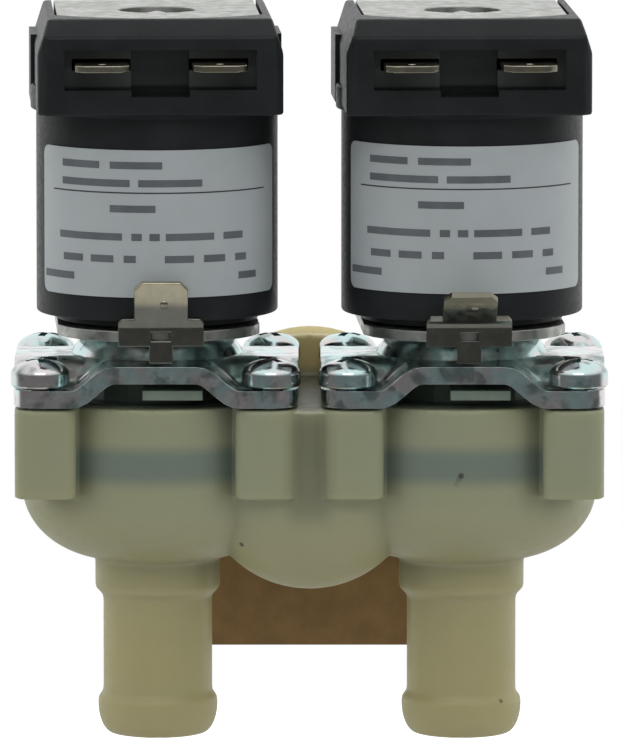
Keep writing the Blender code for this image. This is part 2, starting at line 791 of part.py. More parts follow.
def recess_mesh():
    """Cross recess of a screw head."""
    long = RECESS_SPAN / 2
    short = RECESS_WIDTH / 2
    outline = []
    for i in range(4):
        turn = Matrix.Rotation(math.radians(90 * i), 2)
        outline += [tuple(turn @ Vector(point)) for point in ((long, short), (short, short), (short, long))]
    bm = bmesh.new()
    bottom = SCREW_HEAD_HEIGHT - RECESS_DEPTH
    extruded(bm, [(x, y, bottom) for x, y in outline], (0, 0, 2 * RECESS_DEPTH))
    return mesh_from_bmesh("cross_recess", bm)


def build_screws(name, valve):
    places = {"front_outer": (-1, -1), "front_inner": (1, -1), "rear_outer": (-1, 1), "rear_inner": (1, 1)}
    mirror = 1 if name == "left" else -1
    for place, (sx, sy) in places.items():
        at = (mirror * sx * SCREW_OFFSET, sy * SCREW_OFFSET, SCREW_SEAT_Z)
        title = f"screw_{place}_{name}"
        screw = turned(title, screw_profile(), SMALL_STEPS, valve, ZINC, at)
        boolean(screw, add_object(f"recess_{title}", recess_mesh(), valve, None, at))


def insert_profile():
    """Ring section of the moulded insert, with the O-ring's seat at the top of its hub."""
    groove_in = O_RING_RADIUS - O_RING_SECTION - BORE_GAP
    groove_out = O_RING_RADIUS + O_RING_SECTION + BORE_GAP
    groove_z = INSERT_HUB_Z - 2 * O_RING_SECTION - SEAT_GAP
    return [
        (TUBE_BORE_RADIUS, INSERT_HUB_Z),
        (groove_in, INSERT_HUB_Z),
        (groove_in, groove_z),
        (groove_out, groove_z),
        (groove_out, INSERT_HUB_Z),
        (INSERT_HUB_RADIUS, INSERT_HUB_Z),
        (INSERT_HUB_RADIUS, INSERT_STEP_Z),
        (INSERT_STEP_RADIUS, INSERT_STEP_Z),
        (INSERT_STEP_RADIUS, BODY_TOP_Z),
        (INSERT_RADIUS, BODY_TOP_Z),
        (INSERT_RADIUS, INSERT_BOTTOM_Z),
        (INSERT_ROOM_RADIUS, INSERT_BOTTOM_Z),
        (INSERT_ROOM_RADIUS, INSERT_ROOF_Z),
        (TUBE_BORE_RADIUS, INSERT_ROOF_Z),
    ]


def build_insert(name, valve):
    insert = turned(f"cover_insert_{name}", insert_profile(), BORE_STEPS, valve, GREEN_PLASTIC)
    low = (TONGUE_OFFSET - TONGUE_WIDTH / 2, TONGUE_FRONT_Y, TONGUE_BOTTOM_Z)
    high = (TONGUE_OFFSET + TONGUE_WIDTH / 2, -INSERT_HUB_RADIUS, TONGUE_TOP_Z)
    boolean(insert, box_object(f"tongue_{name}", low, high, valve), "UNION")


def build_diaphragm(name, valve):
    """Rubber disc with a rolled fold, a thick rim and a hole for its hub."""
    top = DIAPHRAGM_Z + DIAPHRAGM_THICKNESS
    fold = (DIAPHRAGM_FLAT_RADIUS + RIM_LEDGE_RADIUS) / 2
    half = DIAPHRAGM_THICKNESS / 2
    profile = [
        (DIAPHRAGM_HOLE, top),
        (DIAPHRAGM_FLAT_RADIUS - half, top),
        (fold - half, top + FOLD_HEIGHT),
        (fold + half, top + FOLD_HEIGHT),
        (RIM_LEDGE_RADIUS, top),
        (RIM_LEDGE_RADIUS, RIM_TOP_Z),
        (INSERT_RADIUS, RIM_TOP_Z),
        (INSERT_RADIUS, RIM_BOTTOM_Z),
        (RIM_LEDGE_RADIUS + BORE_GAP, RIM_BOTTOM_Z),
        (RIM_LEDGE_RADIUS + BORE_GAP - half, DIAPHRAGM_Z),
        (fold, DIAPHRAGM_Z + FOLD_HEIGHT),
        (DIAPHRAGM_FLAT_RADIUS, DIAPHRAGM_Z),
        (DIAPHRAGM_HOLE, DIAPHRAGM_Z),
    ]
    turned(f"diaphragm_{name}", profile, BORE_STEPS, valve, RUBBER)


def build_diaphragm_insert(name, valve):
    """Moulded hub of the diaphragm, with the pilot seat on top and a guide in the outlet."""
    profile = [
        (PILOT_BORE_RADIUS, PILOT_SEAT_Z),
        (PILOT_SEAT_RADIUS, PILOT_SEAT_Z),
        (PILOT_SEAT_RADIUS * 2, HUB_FLANGE_Z + HUB_FLANGE),
        (HUB_FLANGE_RADIUS, HUB_FLANGE_Z + HUB_FLANGE),
        (HUB_FLANGE_RADIUS, HUB_FLANGE_Z),
        (HUB_STEM_RADIUS, HUB_FLANGE_Z),
        (HUB_STEM_RADIUS, HUB_STEM_END_Z),
        (PILOT_BORE_RADIUS, HUB_STEM_END_Z),
    ]
    turned(f"diaphragm_insert_{name}", profile, SMALL_STEPS, valve, WHITE_PLASTIC)


def build_tube(name, valve):
    """Drawn steel tube with a flange at its foot and a hole for the core's rivet at its top."""
    flange_top = FLANGE_Z + TUBE_FLANGE
    profile = [
        (RIVET_RADIUS + BORE_GAP, TUBE_TOP_Z),
        (TUBE_RADIUS - TUBE_WALL, TUBE_TOP_Z),
        (TUBE_RADIUS, TUBE_TOP_Z - TUBE_WALL),
        (TUBE_RADIUS, flange_top),
        (TUBE_FLANGE_RADIUS, flange_top),
        (TUBE_FLANGE_RADIUS, FLANGE_Z),
        (TUBE_BORE_RADIUS, FLANGE_Z),
        (TUBE_BORE_RADIUS, TUBE_TOP_Z - TUBE_WALL),
        (RIVET_RADIUS + BORE_GAP, TUBE_TOP_Z - TUBE_WALL),
    ]
    turned(f"guide_tube_{name}", profile, INNER_STEPS, valve, STEEL)


def build_core(name, valve):
    shoulder = TUBE_TOP_Z - TUBE_WALL - SEAT_GAP
    dome = arc((0, RIVET_TOP_Z - RIVET_RADIUS / 2), (RIVET_RADIUS, RIVET_RADIUS / 2), 90, 0, ROUND_STEPS)
    profile = [
        *dome,
        (RIVET_RADIUS, shoulder),
        (ARMATURE_RADIUS, shoulder),
        (ARMATURE_RADIUS, CORE_BOTTOM_Z),
        (0, CORE_BOTTOM_Z),
    ]
    turned(f"fixed_core_{name}", profile, INNER_STEPS, valve, STEEL)


def build_armature(name, valve):
    """Plunger with a pocket for its spring on top and one for its rubber pad below."""
    edge = SLIDE_GAP
    pocket = ARMATURE_TOP_Z - SPRING_POCKET_DEPTH
    pad_top = ARMATURE_FOOT_Z + PAD_DEPTH + SEAT_GAP
    pad_hole = PAD_RADIUS + BORE_GAP
    profile = [
        (0, pocket),
        (SPRING_POCKET_RADIUS, pocket),
        (SPRING_POCKET_RADIUS, ARMATURE_TOP_Z),
        (ARMATURE_RADIUS - edge, ARMATURE_TOP_Z),
        (ARMATURE_RADIUS, ARMATURE_TOP_Z - edge),
        (ARMATURE_RADIUS, ARMATURE_FOOT_Z + edge),
        (ARMATURE_RADIUS - edge, ARMATURE_FOOT_Z),
        (pad_hole, ARMATURE_FOOT_Z),
        (pad_hole, pad_top),
        (0, pad_top),
    ]
    turned(f"armature_{name}", profile, INNER_STEPS, valve, STEEL)
    bottom = PILOT_SEAT_Z + SEAT_GAP
    top = ARMATURE_FOOT_Z + PAD_DEPTH
    pad = [(0, top), (PAD_RADIUS, top), (PAD_RADIUS, bottom), (0, bottom)]
    turned(f"armature_pad_{name}", pad, SMALL_STEPS, valve, RUBBER)


def build_spring(name, valve):
    """Helical spring between the armature's pocket and the fixed core."""
    bottom = ARMATURE_TOP_Z - SPRING_POCKET_DEPTH + SEAT_GAP + SPRING_WIRE_RADIUS
    top = CORE_BOTTOM_Z - SEAT_GAP - SPRING_WIRE_RADIUS
    count = round(SPRING_TURNS * SPRING_POINTS_PER_TURN) + 1
    curve = bpy.data.curves.new(f"armature_spring_{name}", "CURVE")
    curve.dimensions = "3D"
    curve.bevel_depth = SPRING_WIRE_RADIUS
    curve.bevel_resolution = 2
    curve.use_fill_caps = True
    spline = curve.splines.new("POLY")
    spline.points.add(count - 1)
    for i, point in enumerate(spline.points):
        angle = math.tau * i / SPRING_POINTS_PER_TURN
        height = bottom + (top - bottom) * i / (count - 1)
        x = SPRING_RADIUS * math.cos(angle)
        y = SPRING_RADIUS * math.sin(angle)
        point.co = (x, y, height, 1)
    add_object(f"armature_spring_{name}", curve, valve, STEEL)


def build_o_ring(name, valve):
    height = INSERT_HUB_Z - O_RING_SECTION - SEAT_GAP / 2
    section = arc((O_RING_RADIUS, height), (O_RING_SECTION, O_RING_SECTION), 90, -270, 2 * ROUND_STEPS)[:-1]
    turned(f"tube_o_ring_{name}", section, SMALL_STEPS, valve, RUBBER)


def coil_profile():
    bottom = YOKE_LOWER_TOP_Z + SEAT_GAP
    return [
        (0, COLLAR_TOP_Z),
        (COLLAR_RADIUS, COLLAR_TOP_Z),
        (COLLAR_RADIUS, COLLAR_BOTTOM_Z + COIL_EDGE),
        (COLLAR_RADIUS - COIL_EDGE, COLLAR_BOTTOM_Z),
        (COIL_RADIUS, COLLAR_BOTTOM_Z),
        (COIL_RADIUS, COIL_BOTTOM_Z + COIL_EDGE),
        (COIL_RADIUS - COIL_EDGE, COIL_BOTTOM_Z),
        (COIL_NECK_RADIUS, COIL_BOTTOM_Z),
        (COIL_NECK_RADIUS, bottom),
        (0, bottom),
    ]


def add_head(bm):
    """Terminal head: a block with sloped sides and a sloped front, in one extruded section."""
    section = [
        (-HEAD_HALF_WIDTH, COLLAR_BOTTOM_Z + COIL_EDGE),
        (HEAD_HALF_WIDTH, COLLAR_BOTTOM_Z + COIL_EDGE),
        (HEAD_HALF_WIDTH, HEAD_SHOULDER_Z),
        (HEAD_TOP_HALF_WIDTH, HEAD_TOP_Z),
        (-HEAD_TOP_HALF_WIDTH, HEAD_TOP_Z),
        (-HEAD_HALF_WIDTH, HEAD_SHOULDER_Z),
    ]
    extruded(bm, [(x, HEAD_FRONT_Y, z) for x, z in section], (0, HEAD_BACK_Y - HEAD_FRONT_Y, 0))


def front_trim_mesh():
    """Cutter that slopes the head's upper front edge and its two front corners."""
    bm = bmesh.new()
    out = HEAD_HALF_WIDTH * 2
    rise = HEAD_TOP_Z - HEAD_BEVEL_Z
    run = HEAD_BEVEL_Y - HEAD_FRONT_Y
    wedge = [
        (HEAD_FRONT_Y - run, HEAD_BEVEL_Z - rise),
        (HEAD_BEVEL_Y + run, HEAD_TOP_Z + rise),
        (HEAD_FRONT_Y - run, HEAD_TOP_Z + rise),
    ]
    extruded(bm, [(-out, y, z) for y, z in wedge], (2 * out, 0, 0))
    return mesh_from_bmesh("front_trim", bm)


def add_corner_trims(bm):
    low = COLLAR_BOTTOM_Z - HEAD_CORNER
    height = HEAD_TOP_Z - low + HEAD_CORNER
    for side in (-1, 1):
        edge = side * HEAD_HALF_WIDTH
        outline = [
            (edge - 2 * side * HEAD_CORNER, HEAD_FRONT_Y - HEAD_CORNER, low),
            (edge + side * HEAD_CORNER, HEAD_FRONT_Y - HEAD_CORNER, low),
            (edge + side * HEAD_CORNER, HEAD_FRONT_Y + 2 * HEAD_CORNER, low),
        ]
        extruded(bm, outline, (0, 0, height))


def lid_outline(grow):
    """Flat outline of the yoke's top plate over the head, as (x, y), grown by a clearance."""
    half = YOKE_HALF_WIDTH + grow
    front = YOKE_LID_FRONT_Y - grow
    radius = YOKE_LID_ARC
    spread = math.degrees(math.asin(half / radius))
    nose = arc((0, front + radius), (radius, radius), 270 - spread, 270 + spread, 2 * ARC_STEPS)
    return [*nose, (half, HEAD_BACK_Y + half), (-half, HEAD_BACK_Y + half)]


def build_coil(name, mount):
    """Overmoulded winding: one black piece with the terminal head on top."""
    coil = turned(f"coil_{name}", coil_profile(), COIL_STEPS, mount, BLACK)
    bm = bmesh.new()
    add_head(bm)
    boolean(coil, add_object(f"head_{name}", mesh_from_bmesh("head", bm), mount), "UNION")
    wing = HEAD_HALF_WIDTH + WING_OUT
    low = (-wing, WING_FRONT_Y, COLLAR_BOTTOM_Z + COIL_EDGE)
    wings = box_object(f"wings_{name}", low, (wing, HEAD_BACK_Y, WING_TOP_Z), mount)
    boolean(coil, wings, "UNION")
    boolean(coil, add_object(f"front_trim_{name}", front_trim_mesh(), mount))
    low = (-COLLAR_RADIUS, HEAD_BACK_Y, COLLAR_BOTTOM_Z - COIL_EDGE)
    high = (COLLAR_RADIUS, HEAD_BACK_Y + COLLAR_RADIUS, HEAD_TOP_Z)
    boolean(coil, box_object(f"back_trim_{name}", low, high, mount))
    bm = bmesh.new()
    add_corner_trims(bm)
    boolean(coil, add_object(f"corner_trim_{name}", mesh_from_bmesh("corner_trim", bm), mount))

    out = HEAD_FRONT_Y - POCKET_DEPTH
    pocket = box_object(
        f"pocket_{name}",
        (-POCKET_HALF_WIDTH, out, POCKET_BOTTOM_Z),
        (POCKET_HALF_WIDTH, HEAD_FRONT_Y + POCKET_DEPTH, POCKET_TOP_Z),
        mount,
    )
    boolean(coil, pocket)
    keyway = box_object(
        f"keyway_{name}",
        (-KEYWAY_HALF_WIDTH, out, KEYWAY_BOTTOM_Z),
        (KEYWAY_HALF_WIDTH, HEAD_FRONT_Y + KEYWAY_DEPTH, POCKET_TOP_Z),
        mount,
    )
    boolean(coil, keyway)
    boolean(coil, add_object(f"blade_slots_{name}", blade_slot_mesh(), mount))
    bm = bmesh.new()
    extruded(bm, [(x, y, LID_BOTTOM_Z - SEAT_GAP) for x, y in lid_outline(BORE_GAP)], (0, 0, 3 * YOKE_SHEET))
    boolean(coil, add_object(f"lid_recess_{name}", mesh_from_bmesh("lid_recess", bm), mount))
    ends = ((0, 0, 0), (0, 0, HEAD_TOP_Z + YOKE_SHEET))
    boolean(coil, cylinder_object(f"coil_bore_{name}", YOKE_HOLE_RADIUS, *ends, INNER_STEPS, mount))


def blade_slot_mesh():
    bm = bmesh.new()
    half = BLADE_WIDTH / 2 + BORE_GAP
    thick = BLADE_THICKNESS / 2 + BORE_GAP
    for x in (-BLADE_OFFSET, BLADE_OFFSET):
        low = (x - half, HEAD_FRONT_Y, BLADE_Z - thick)
        add_box(bm, low, (x + half, BLADE_ROOT_Y + SEAT_GAP, BLADE_Z + thick))
    return mesh_from_bmesh("blade_slots", bm)


def blade_mesh():
    """Blade terminal with chamfered tip corners, pointing to the front."""
    half = BLADE_WIDTH / 2
    cut = BLADE_TIP_CHAMFER
    outline = [
        (half, BLADE_ROOT_Y),
        (-half, BLADE_ROOT_Y),
        (-half, BLADE_TIP_Y + cut),
        (cut - half, BLADE_TIP_Y),
        (half - cut, BLADE_TIP_Y),
        (half, BLADE_TIP_Y + cut),
    ]
    bm = bmesh.new()
    extruded(bm, [(x, y, -BLADE_THICKNESS / 2) for x, y in outline], (0, 0, BLADE_THICKNESS))
    return mesh_from_bmesh("blade", bm)


def build_blades(name, mount):
    for side, x in (("left", -BLADE_OFFSET), ("right", BLADE_OFFSET)):
        blade = add_object(f"blade_{side}_{name}", blade_mesh(), mount, TINNED, (x, 0, BLADE_Z))
        hole_y = BLADE_TIP_Y + BLADE_HOLE_FROM_TIP
        ends = ((x, hole_y, BLADE_Z - BLADE_THICKNESS), (x, hole_y, BLADE_Z + BLADE_THICKNESS))
        hole = cylinder_object(f"blade_hole_{side}_{name}", BLADE_HOLE_RADIUS, *ends, SMALL_STEPS, mount)
        boolean(blade, hole)


def yoke_outline_and_bends():
    """Flat blank of the yoke and its two bends."""
    inner = YOKE_BEND_RADIUS
    lower = YOKE_LEG_Y - inner - YOKE_FRONT_Y
    quarter = math.pi / 2
    leg = LID_BOTTOM_Z - YOKE_LOWER_TOP_Z - 2 * inner
    second = lower + inner * quarter + leg
    end = second + inner * quarter + (YOKE_LEG_Y - inner - YOKE_LID_FRONT_Y)
    spread = math.degrees(math.asin(YOKE_HALF_WIDTH / YOKE_FRONT_ARC))
    front = arc((0, YOKE_FRONT_ARC), (YOKE_FRONT_ARC, YOKE_FRONT_ARC), 270 - spread, 270 + spread, 3 * ARC_STEPS)
    spread = math.degrees(math.asin(YOKE_HALF_WIDTH / YOKE_LID_ARC))
    back = arc((0, end - YOKE_LID_ARC), (YOKE_LID_ARC, YOKE_LID_ARC), 90 - spread, 90 + spread, 2 * ARC_STEPS)
    bends = [(lower, inner, quarter), (second, inner, quarter)]
    return front + back, bends


def build_yoke(name, mount):
    """Steel strip round the coil: lower plate, back leg and top plate."""
    outline, bends = yoke_outline_and_bends()
    start = (YOKE_FRONT_Y, YOKE_LOWER_TOP_Z)
    yoke = add_object(f"yoke_{name}", bent_sheet("yoke", outline, YOKE_SHEET, start, bends), mount, GREY_ZINC)
    ends = ((0, 0, YOKE_LOWER_TOP_Z - 2 * YOKE_SHEET), (0, 0, HEAD_TOP_Z + YOKE_SHEET))
    boolean(yoke, cylinder_object(f"yoke_bore_{name}", YOKE_HOLE_RADIUS, *ends, INNER_STEPS, mount))


def tab_outline():
    """Flat outline of the earth tab, as (across, height above its leg's end)."""
    leg = TAB_LEG_HALF_WIDTH
    wide = TAB_BODY_HALF_WIDTH
    blade = BLADE_WIDTH / 2
    cut = TAB_TIP_CHAMFER
    body = TAB_BODY_BOTTOM_Z - TAB_LEG_BOTTOM_Z
    shoulder = TAB_SHOULDER_Z - TAB_LEG_BOTTOM_Z
    half = [
        (leg, 0),
        (leg, body),
        (wide, body),
        (wide, shoulder - cut / 2),
        (wide - cut / 2, shoulder),
        (blade, shoulder),
        (blade, TAB_LENGTH - cut),
        (blade - cut, TAB_LENGTH),
    ]
    return half + [(-across, along) for across, along in reversed(half)]


def build_earth_tab(name, mount):
    """Tinned tab in front of the yoke; its blade leans forward from a fold."""
    lean = TAB_LEAN[name]
    fold_at = TAB_FOLD_Z - TAB_LEG_BOTTOM_Z
    mesh = bent_sheet("earth_tab", tab_outline(), TAB_SHEET, (0, 0), [(fold_at, TAB_FOLD_RADIUS, lean)])
    front = YOKE_FRONT_Y - SEAT_GAP - TAB_SHEET
    upright = Matrix.Translation((0, front, TAB_LEG_BOTTOM_Z)) @ Matrix.Rotation(math.radians(90), 4, "X")
    mesh.transform(upright)
    tab = add_object(f"earth_tab_{name}", mesh, mount, TINNED)
    low = (-TAB_SLOT_HALF_WIDTH, front - TAB_SHEET, TAB_SLOT_Z[0])
    high = (TAB_SLOT_HALF_WIDTH, YOKE_FRONT_Y, TAB_SLOT_Z[1])
    boolean(tab, box_object(f"tab_slot_{name}", low, high, mount))


def build_label(name, mount):
    """Adhesive label: a thin strip round the front of the coil, with rounded corners."""
    step = math.tau / COIL_STEPS
    count = round(LABEL_HALF_ANGLE / step)
    bottom = LABEL_BOTTOM_Z + LABEL_RAISE[name]
    top = LABEL_TOP_Z + LABEL_RAISE[name]
    columns = []
    for i in range(-count, count + 1):
        angle = -math.pi / 2 + i * step
        from_end = (count - abs(i)) * step * LABEL_RADIUS
        drop = LABEL_CORNER - math.sqrt(max(LABEL_CORNER**2 - max(LABEL_CORNER - from_end, 0) ** 2, 0))
        columns.append((angle, bottom + drop, top - drop))
    bm = bmesh.new()
    loops = []
    for angle, low, high in columns:
        corner = []
        for radius, height in ((LABEL_RADIUS, low), (LABEL_RADIUS, high)):
            corner.append(bm.verts.new((radius * math.cos(angle), radius * math.sin(angle), height)))
        loops.append(corner)
    for left, right in zip(loops, loops[1:]):
        bm.faces.new((left[0], right[0], right[1], left[1]))
    label = add_object(f"label_{name}", mesh_from_bmesh("label", bm), mount, LABEL_GREY)
    sheet = label.modifiers.new("sheet", "SOLIDIFY")
    sheet.thickness = LABEL_SHEET
    sheet.offset = 1


def build_valve(name, valve, mount):
    build_cover(name, valve)
    build_screws(name, valve)
    build_insert(name, valve)
    build_diaphragm(name, valve)
    build_diaphragm_insert(name, valve)
    build_tube(name, valve)
    build_core(name, valve)
    build_armature(name, valve)
    build_spring(name, valve)
    build_o_ring(name, valve)
    build_coil(name, mount)
    build_blades(name, mount)
    build_yoke(name, mount)
    build_earth_tab(name, mount)
    build_label(name, mount)


clear_scene()
PARTS = make_collection("double_water_valve")
CUTTERS = make_collection("cutters")

CREAM = make_material("cream_polymer", (0.27, 0.26, 0.17), 0.42)
BROWN = make_material("brown_polymer", (0.12, 0.078, 0.031), 0.60)
BLACK = make_material("black_polymer", (0.014, 0.016, 0.016), 0.40)
WHITE_PLASTIC = make_material("white_polymer", (0.70, 0.70, 0.66), 0.45)
GREEN_PLASTIC = make_material("grey_green_polymer", (0.10, 0.13, 0.11), 0.45)
RUBBER = make_material("dark_rubber", (0.03, 0.04, 0.05), 0.70)
ZINC = make_material("bright_zinc", (0.62, 0.66, 0.68), 0.25, 1.0)
GREY_ZINC = make_material("grey_zinc", (0.60, 0.61, 0.58), 0.50, 1.0)
STEEL = make_material("stainless_steel", (0.55, 0.55, 0.56), 0.30, 1.0)
TINNED = make_material("tinned_brass", (0.55, 0.52, 0.42), 0.35, 1.0)
LABEL_GREY = make_material("label_grey", (0.31, 0.33, 0.34), 0.50)

DATUM = make_empty("body_datum", None, (0, -PLATE_BACK_Y, TOP_ABOVE_HOLES))
VALVES = {
    "left": make_empty("valve_left", DATUM, (-VALVE_PITCH / 2, 0, 0)),
    "right": make_empty("valve_right", DATUM, (VALVE_PITCH / 2, 0, 0)),
}

build_body(VALVES)
build_mounting_plate()
build_strainer()
for side_name, valve_frame in VALVES.items():
    coil_mount = make_empty(f"coil_mount_{side_name}", valve_frame, (0, 0, 0), COIL_YAW)
    build_valve(side_name, valve_frame, coil_mount)
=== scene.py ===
"""Looks of the double water valve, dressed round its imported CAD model.

Units are metres. Heights called *_Z count from the underside of the cover plates, and places called
*_Y from the plane of the valves' axes, as in the part's source. DATUM carries them to the row's frame.
The dimples of the earth tabs, the places in the materials, the floor and the camera are given in the
row's frame itself.
"""

import json
import math

import bmesh
import bpy
from mathutils import Matrix, Vector


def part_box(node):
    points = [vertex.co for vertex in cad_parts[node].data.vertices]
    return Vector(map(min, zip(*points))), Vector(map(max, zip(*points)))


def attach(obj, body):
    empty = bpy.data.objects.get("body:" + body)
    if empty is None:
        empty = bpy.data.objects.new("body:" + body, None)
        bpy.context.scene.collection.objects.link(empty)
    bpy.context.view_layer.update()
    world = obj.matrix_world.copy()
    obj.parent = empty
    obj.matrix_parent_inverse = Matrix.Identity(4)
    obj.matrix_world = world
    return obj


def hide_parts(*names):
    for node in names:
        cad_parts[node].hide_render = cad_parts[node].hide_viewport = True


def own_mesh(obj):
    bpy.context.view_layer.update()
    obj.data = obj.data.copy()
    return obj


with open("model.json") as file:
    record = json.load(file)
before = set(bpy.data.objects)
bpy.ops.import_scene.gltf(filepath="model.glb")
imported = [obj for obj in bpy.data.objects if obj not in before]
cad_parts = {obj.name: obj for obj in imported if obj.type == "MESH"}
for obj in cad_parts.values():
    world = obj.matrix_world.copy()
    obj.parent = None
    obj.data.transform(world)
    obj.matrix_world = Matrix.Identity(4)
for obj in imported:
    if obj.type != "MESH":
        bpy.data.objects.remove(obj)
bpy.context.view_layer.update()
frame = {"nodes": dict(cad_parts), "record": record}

# Layout, as in the part's source
DATUM = Matrix.Translation((0, -0.0233, 0.0270))
VALVE_PITCH = 0.0360
COIL_YAW = math.radians(2.5)
SEAT_GAP = 0.0003
TINY = 0.000001
CORNERS = ((-1, -1), (-1, 1), (1, -1), (1, 1))

# Body
CHAMBER_RADIUS = 0.0160
CHAMBER_BORE_RADIUS = 0.0126
BODY_TOP_Z = -0.0003
BOWL_TOP_Z = -0.0112
BOWL_BOTTOM_Z = -0.0196
BOWL_FLAT_RADIUS = 0.0058
RIM_LEDGE_Z = -0.0092
RIM_LEDGE_RADIUS = 0.0109
RING_CHANNEL_Z = -0.0155
SEAT_Z = -0.0074
SEAT_RADIUS = 0.0063
OUTLET_BORE_RADIUS = 0.0049
BOSS_OUTER = 0.0165
BOSS_WIDTH = 0.0072
BOSS_BOTTOM_Z = -0.0108
BOSS_ROUND = 0.0018
NOZZLE_RADIUS = 0.00645
NOZZLE_COLLAR_RADIUS = 0.0074
NOZZLE_COLLAR_Z = -0.0232
BARB_RADIUS = 0.0071
BARB_Z = -0.0364
BARB_LAND = 0.0006
BARB_SHOULDER = 0.0008
NOZZLE_END_Z = -0.0407
NOZZLE_END_RADIUS = 0.0053
INLET_AXIS_Z = -0.0094
BARREL_RADIUS = 0.0132
BARREL_FRONT_Y = -0.0152
BARREL_NOSE_LENGTH = 0.0088
INLET_WALL_RADIUS = 0.0142
INLET_WALL_Y = 0.0170
INLET_WALL_END_Y = 0.0200
THREAD_RADIUS = 0.01322
THREAD_START_Y = 0.0236
INLET_END_Y = 0.0376
INLET_BORE_RADIUS = 0.0102
INLET_BORE_DEPTH = 0.0150
FEED_RADIUS = 0.0042
FEED_END_Y = -0.0035
WEB_HALF_WIDTH = 0.0070
WEB_TOP_Z = -0.0006
WEB_BOTTOM_Z = -0.0101
WEB_FRONT_Y = -0.0150
EDGE = 0.0004
CORNER_REACH = 0.45
TRIM_ALLOWANCE = 0.0012
BODY_VOXEL = 0.0003
BODY_SMOOTHING = 6
BODY_KEEP = 0.3

# Thread of the inlet
THREAD_PITCH = 0.001814
THREAD_DEPTH = 0.00116
THREAD_STEPS = 64
THREAD_FADE_STEPS = THREAD_STEPS / 3
THREAD_ROOT_HALF = THREAD_PITCH * 0.47
THREAD_CREST_HALF = THREAD_PITCH * 0.08

# Cover plate
COVER_SHEET = 0.0020
COVER_HALF_WIDTH = 0.0167
COVER_RAISE = 0.00285
COVER_CUP_HEIGHT = 0.0070
COVER_CUP_RADIUS = 0.0086
COVER_CUP_HOLE = 0.0049
# How far the cup's flank starts inside its radius and ends outside it, in half falls of the flank
CUP_FLANK = (0.45, 1.1)
CUP_FLANK_STEPS = 10
COVER_SLOPE_START = 0.0049
COVER_SLOPE_END = 0.0097
COVER_CORNER_POWER = 12
COVER_STEPS = 160
COVER_RINGS = 22
COVER_EDGE = 0.0004

# Screws
SCREW_SPACING = 0.0270
SCREW_SEAT_Z = COVER_SHEET + SEAT_GAP
SCREW_HEAD_RADIUS = 0.00345
SCREW_HEAD_HEIGHT = 0.0032
SCREW_RIM_HEIGHT = 0.0014
SCREW_SHANK_RADIUS = 0.0014
SCREW_END_Z = -0.0085
RECESS_SPAN = 0.0034
RECESS_WIDTH = 0.0009
RECESS_DEPTH = 0.0014
SCREW_TURNS = {
    "front_outer": (-1, -1, 12),
    "front_inner": (1, -1, 38),
    "rear_outer": (-1, 1, 71),
    "rear_inner": (1, 1, 25),
}
SCREW_HOLE_RADIUS = 0.0022

# Coil
COIL_RADIUS = 0.01425
COIL_BOTTOM_Z = 0.0098
COIL_NECK_RADIUS = 0.0119
COIL_NECK_Z = 0.0090
COLLAR_RADIUS = 0.0149
COLLAR_BOTTOM_Z = 0.0338
COLLAR_TOP_Z = 0.0366
HEAD_HALF_WIDTH = 0.01435
HEAD_TOP_HALF_WIDTH = 0.0131
HEAD_BOTTOM_Z = 0.0342
HEAD_SHOULDER_Z = 0.0414
HEAD_TOP_Z = 0.04535
HEAD_FRONT_Y = -0.0159
HEAD_BACK_Y = 0.0144
HEAD_BEVEL_Z = 0.0434
HEAD_BEVEL_Y = -0.0132
HEAD_CORNER = 0.0010
HEAD_EDGE = 0.00035
WING_OUT = 0.0005
WING_FRONT_Y = 0.0030
WING_TOP_Z = 0.0422
POCKET_HALF_WIDTH = 0.0112
POCKET_TOP_Z = 0.0419
POCKET_BOTTOM_Z = 0.0372
POCKET_DEPTH = 0.0026
KEYWAY_HALF_WIDTH = 0.0034
KEYWAY_DEPTH = 0.0048
KEYWAY_BOTTOM_Z = 0.0364
BLADE_WIDTH = 0.0063
BLADE_THICKNESS = 0.0008
BLADE_OFFSET = 0.00685
BLADE_Z = 0.0400
BLADE_ROOT_Y = -0.0085
YOKE_SHEET = 0.0013
YOKE_HALF_WIDTH = 0.0119
YOKE_LID_FRONT_Y = -0.0126
YOKE_LID_ARC = 0.0160
YOKE_HOLE_RADIUS = 0.0047

# Armature springs
SPRING_RADIUS = 0.0018
SPRING_WIRE_RADIUS = 0.00025
SPRING_TURNS = 4.5
SPRING_STEPS = 36
WIRE_STEPS = 10

# Earth tabs
TAB_LEAN = {"left": math.radians(14), "right": math.radians(46)}
TAB_DIMPLE = {"left": (-0.01697, -0.03936, 0.03911), "right": (0.01929, -0.04092, 0.03881)}
DIMPLE_RADIUS = 0.0005
DIMPLE_FLATNESS = 0.35

# Label
LABEL_RADIUS = 0.01435
LABEL_SHEET = 0.00015
LABEL_BOTTOM_Z = 0.0126
LABEL_TOP_Z = 0.0299
LABEL_HALF_ANGLE = math.radians(67.5)
LABEL_CORNER = 0.0011
LABEL_RAISE = {"left": 0.00015, "right": 0.0006}
RULE_Z = 0.0248
BAR_HEIGHT = 0.00085
BAR_ROWS = {
    0.0281: ((-11.3, -7.1), (-5.9, 0.2)),
    0.0260: ((-11.3, -3.6), (-2.6, 4.9)),
    0.0230: ((-5.9, -0.6),),
    0.0197: ((-11.6, -4.5), (-3.4, -2.2), (-1.3, -0.1), (0.6, 6.3), (7.4, 9.7)),
    0.0171: ((-11.2, -9.0), (-8.1, -5.5), (-4.3, -2.9), (0.5, 3.9), (5.1, 7.6), (8.8, 10.1)),
    0.0149: ((-13.2, -10.0), (9.2, 11.3)),
}
MILLIMETRE = 0.001
LABEL_STEPS = 72
LABEL_END_CROWDING = 1.6
PRINT_LIFT = 0.00002
RULE_HEIGHT = 0.00016
RULE_HALF_ANGLE = math.radians(58)

# Heights of fine relief in the materials
GRAIN = 0.00002
UNEVENNESS = 0.00004

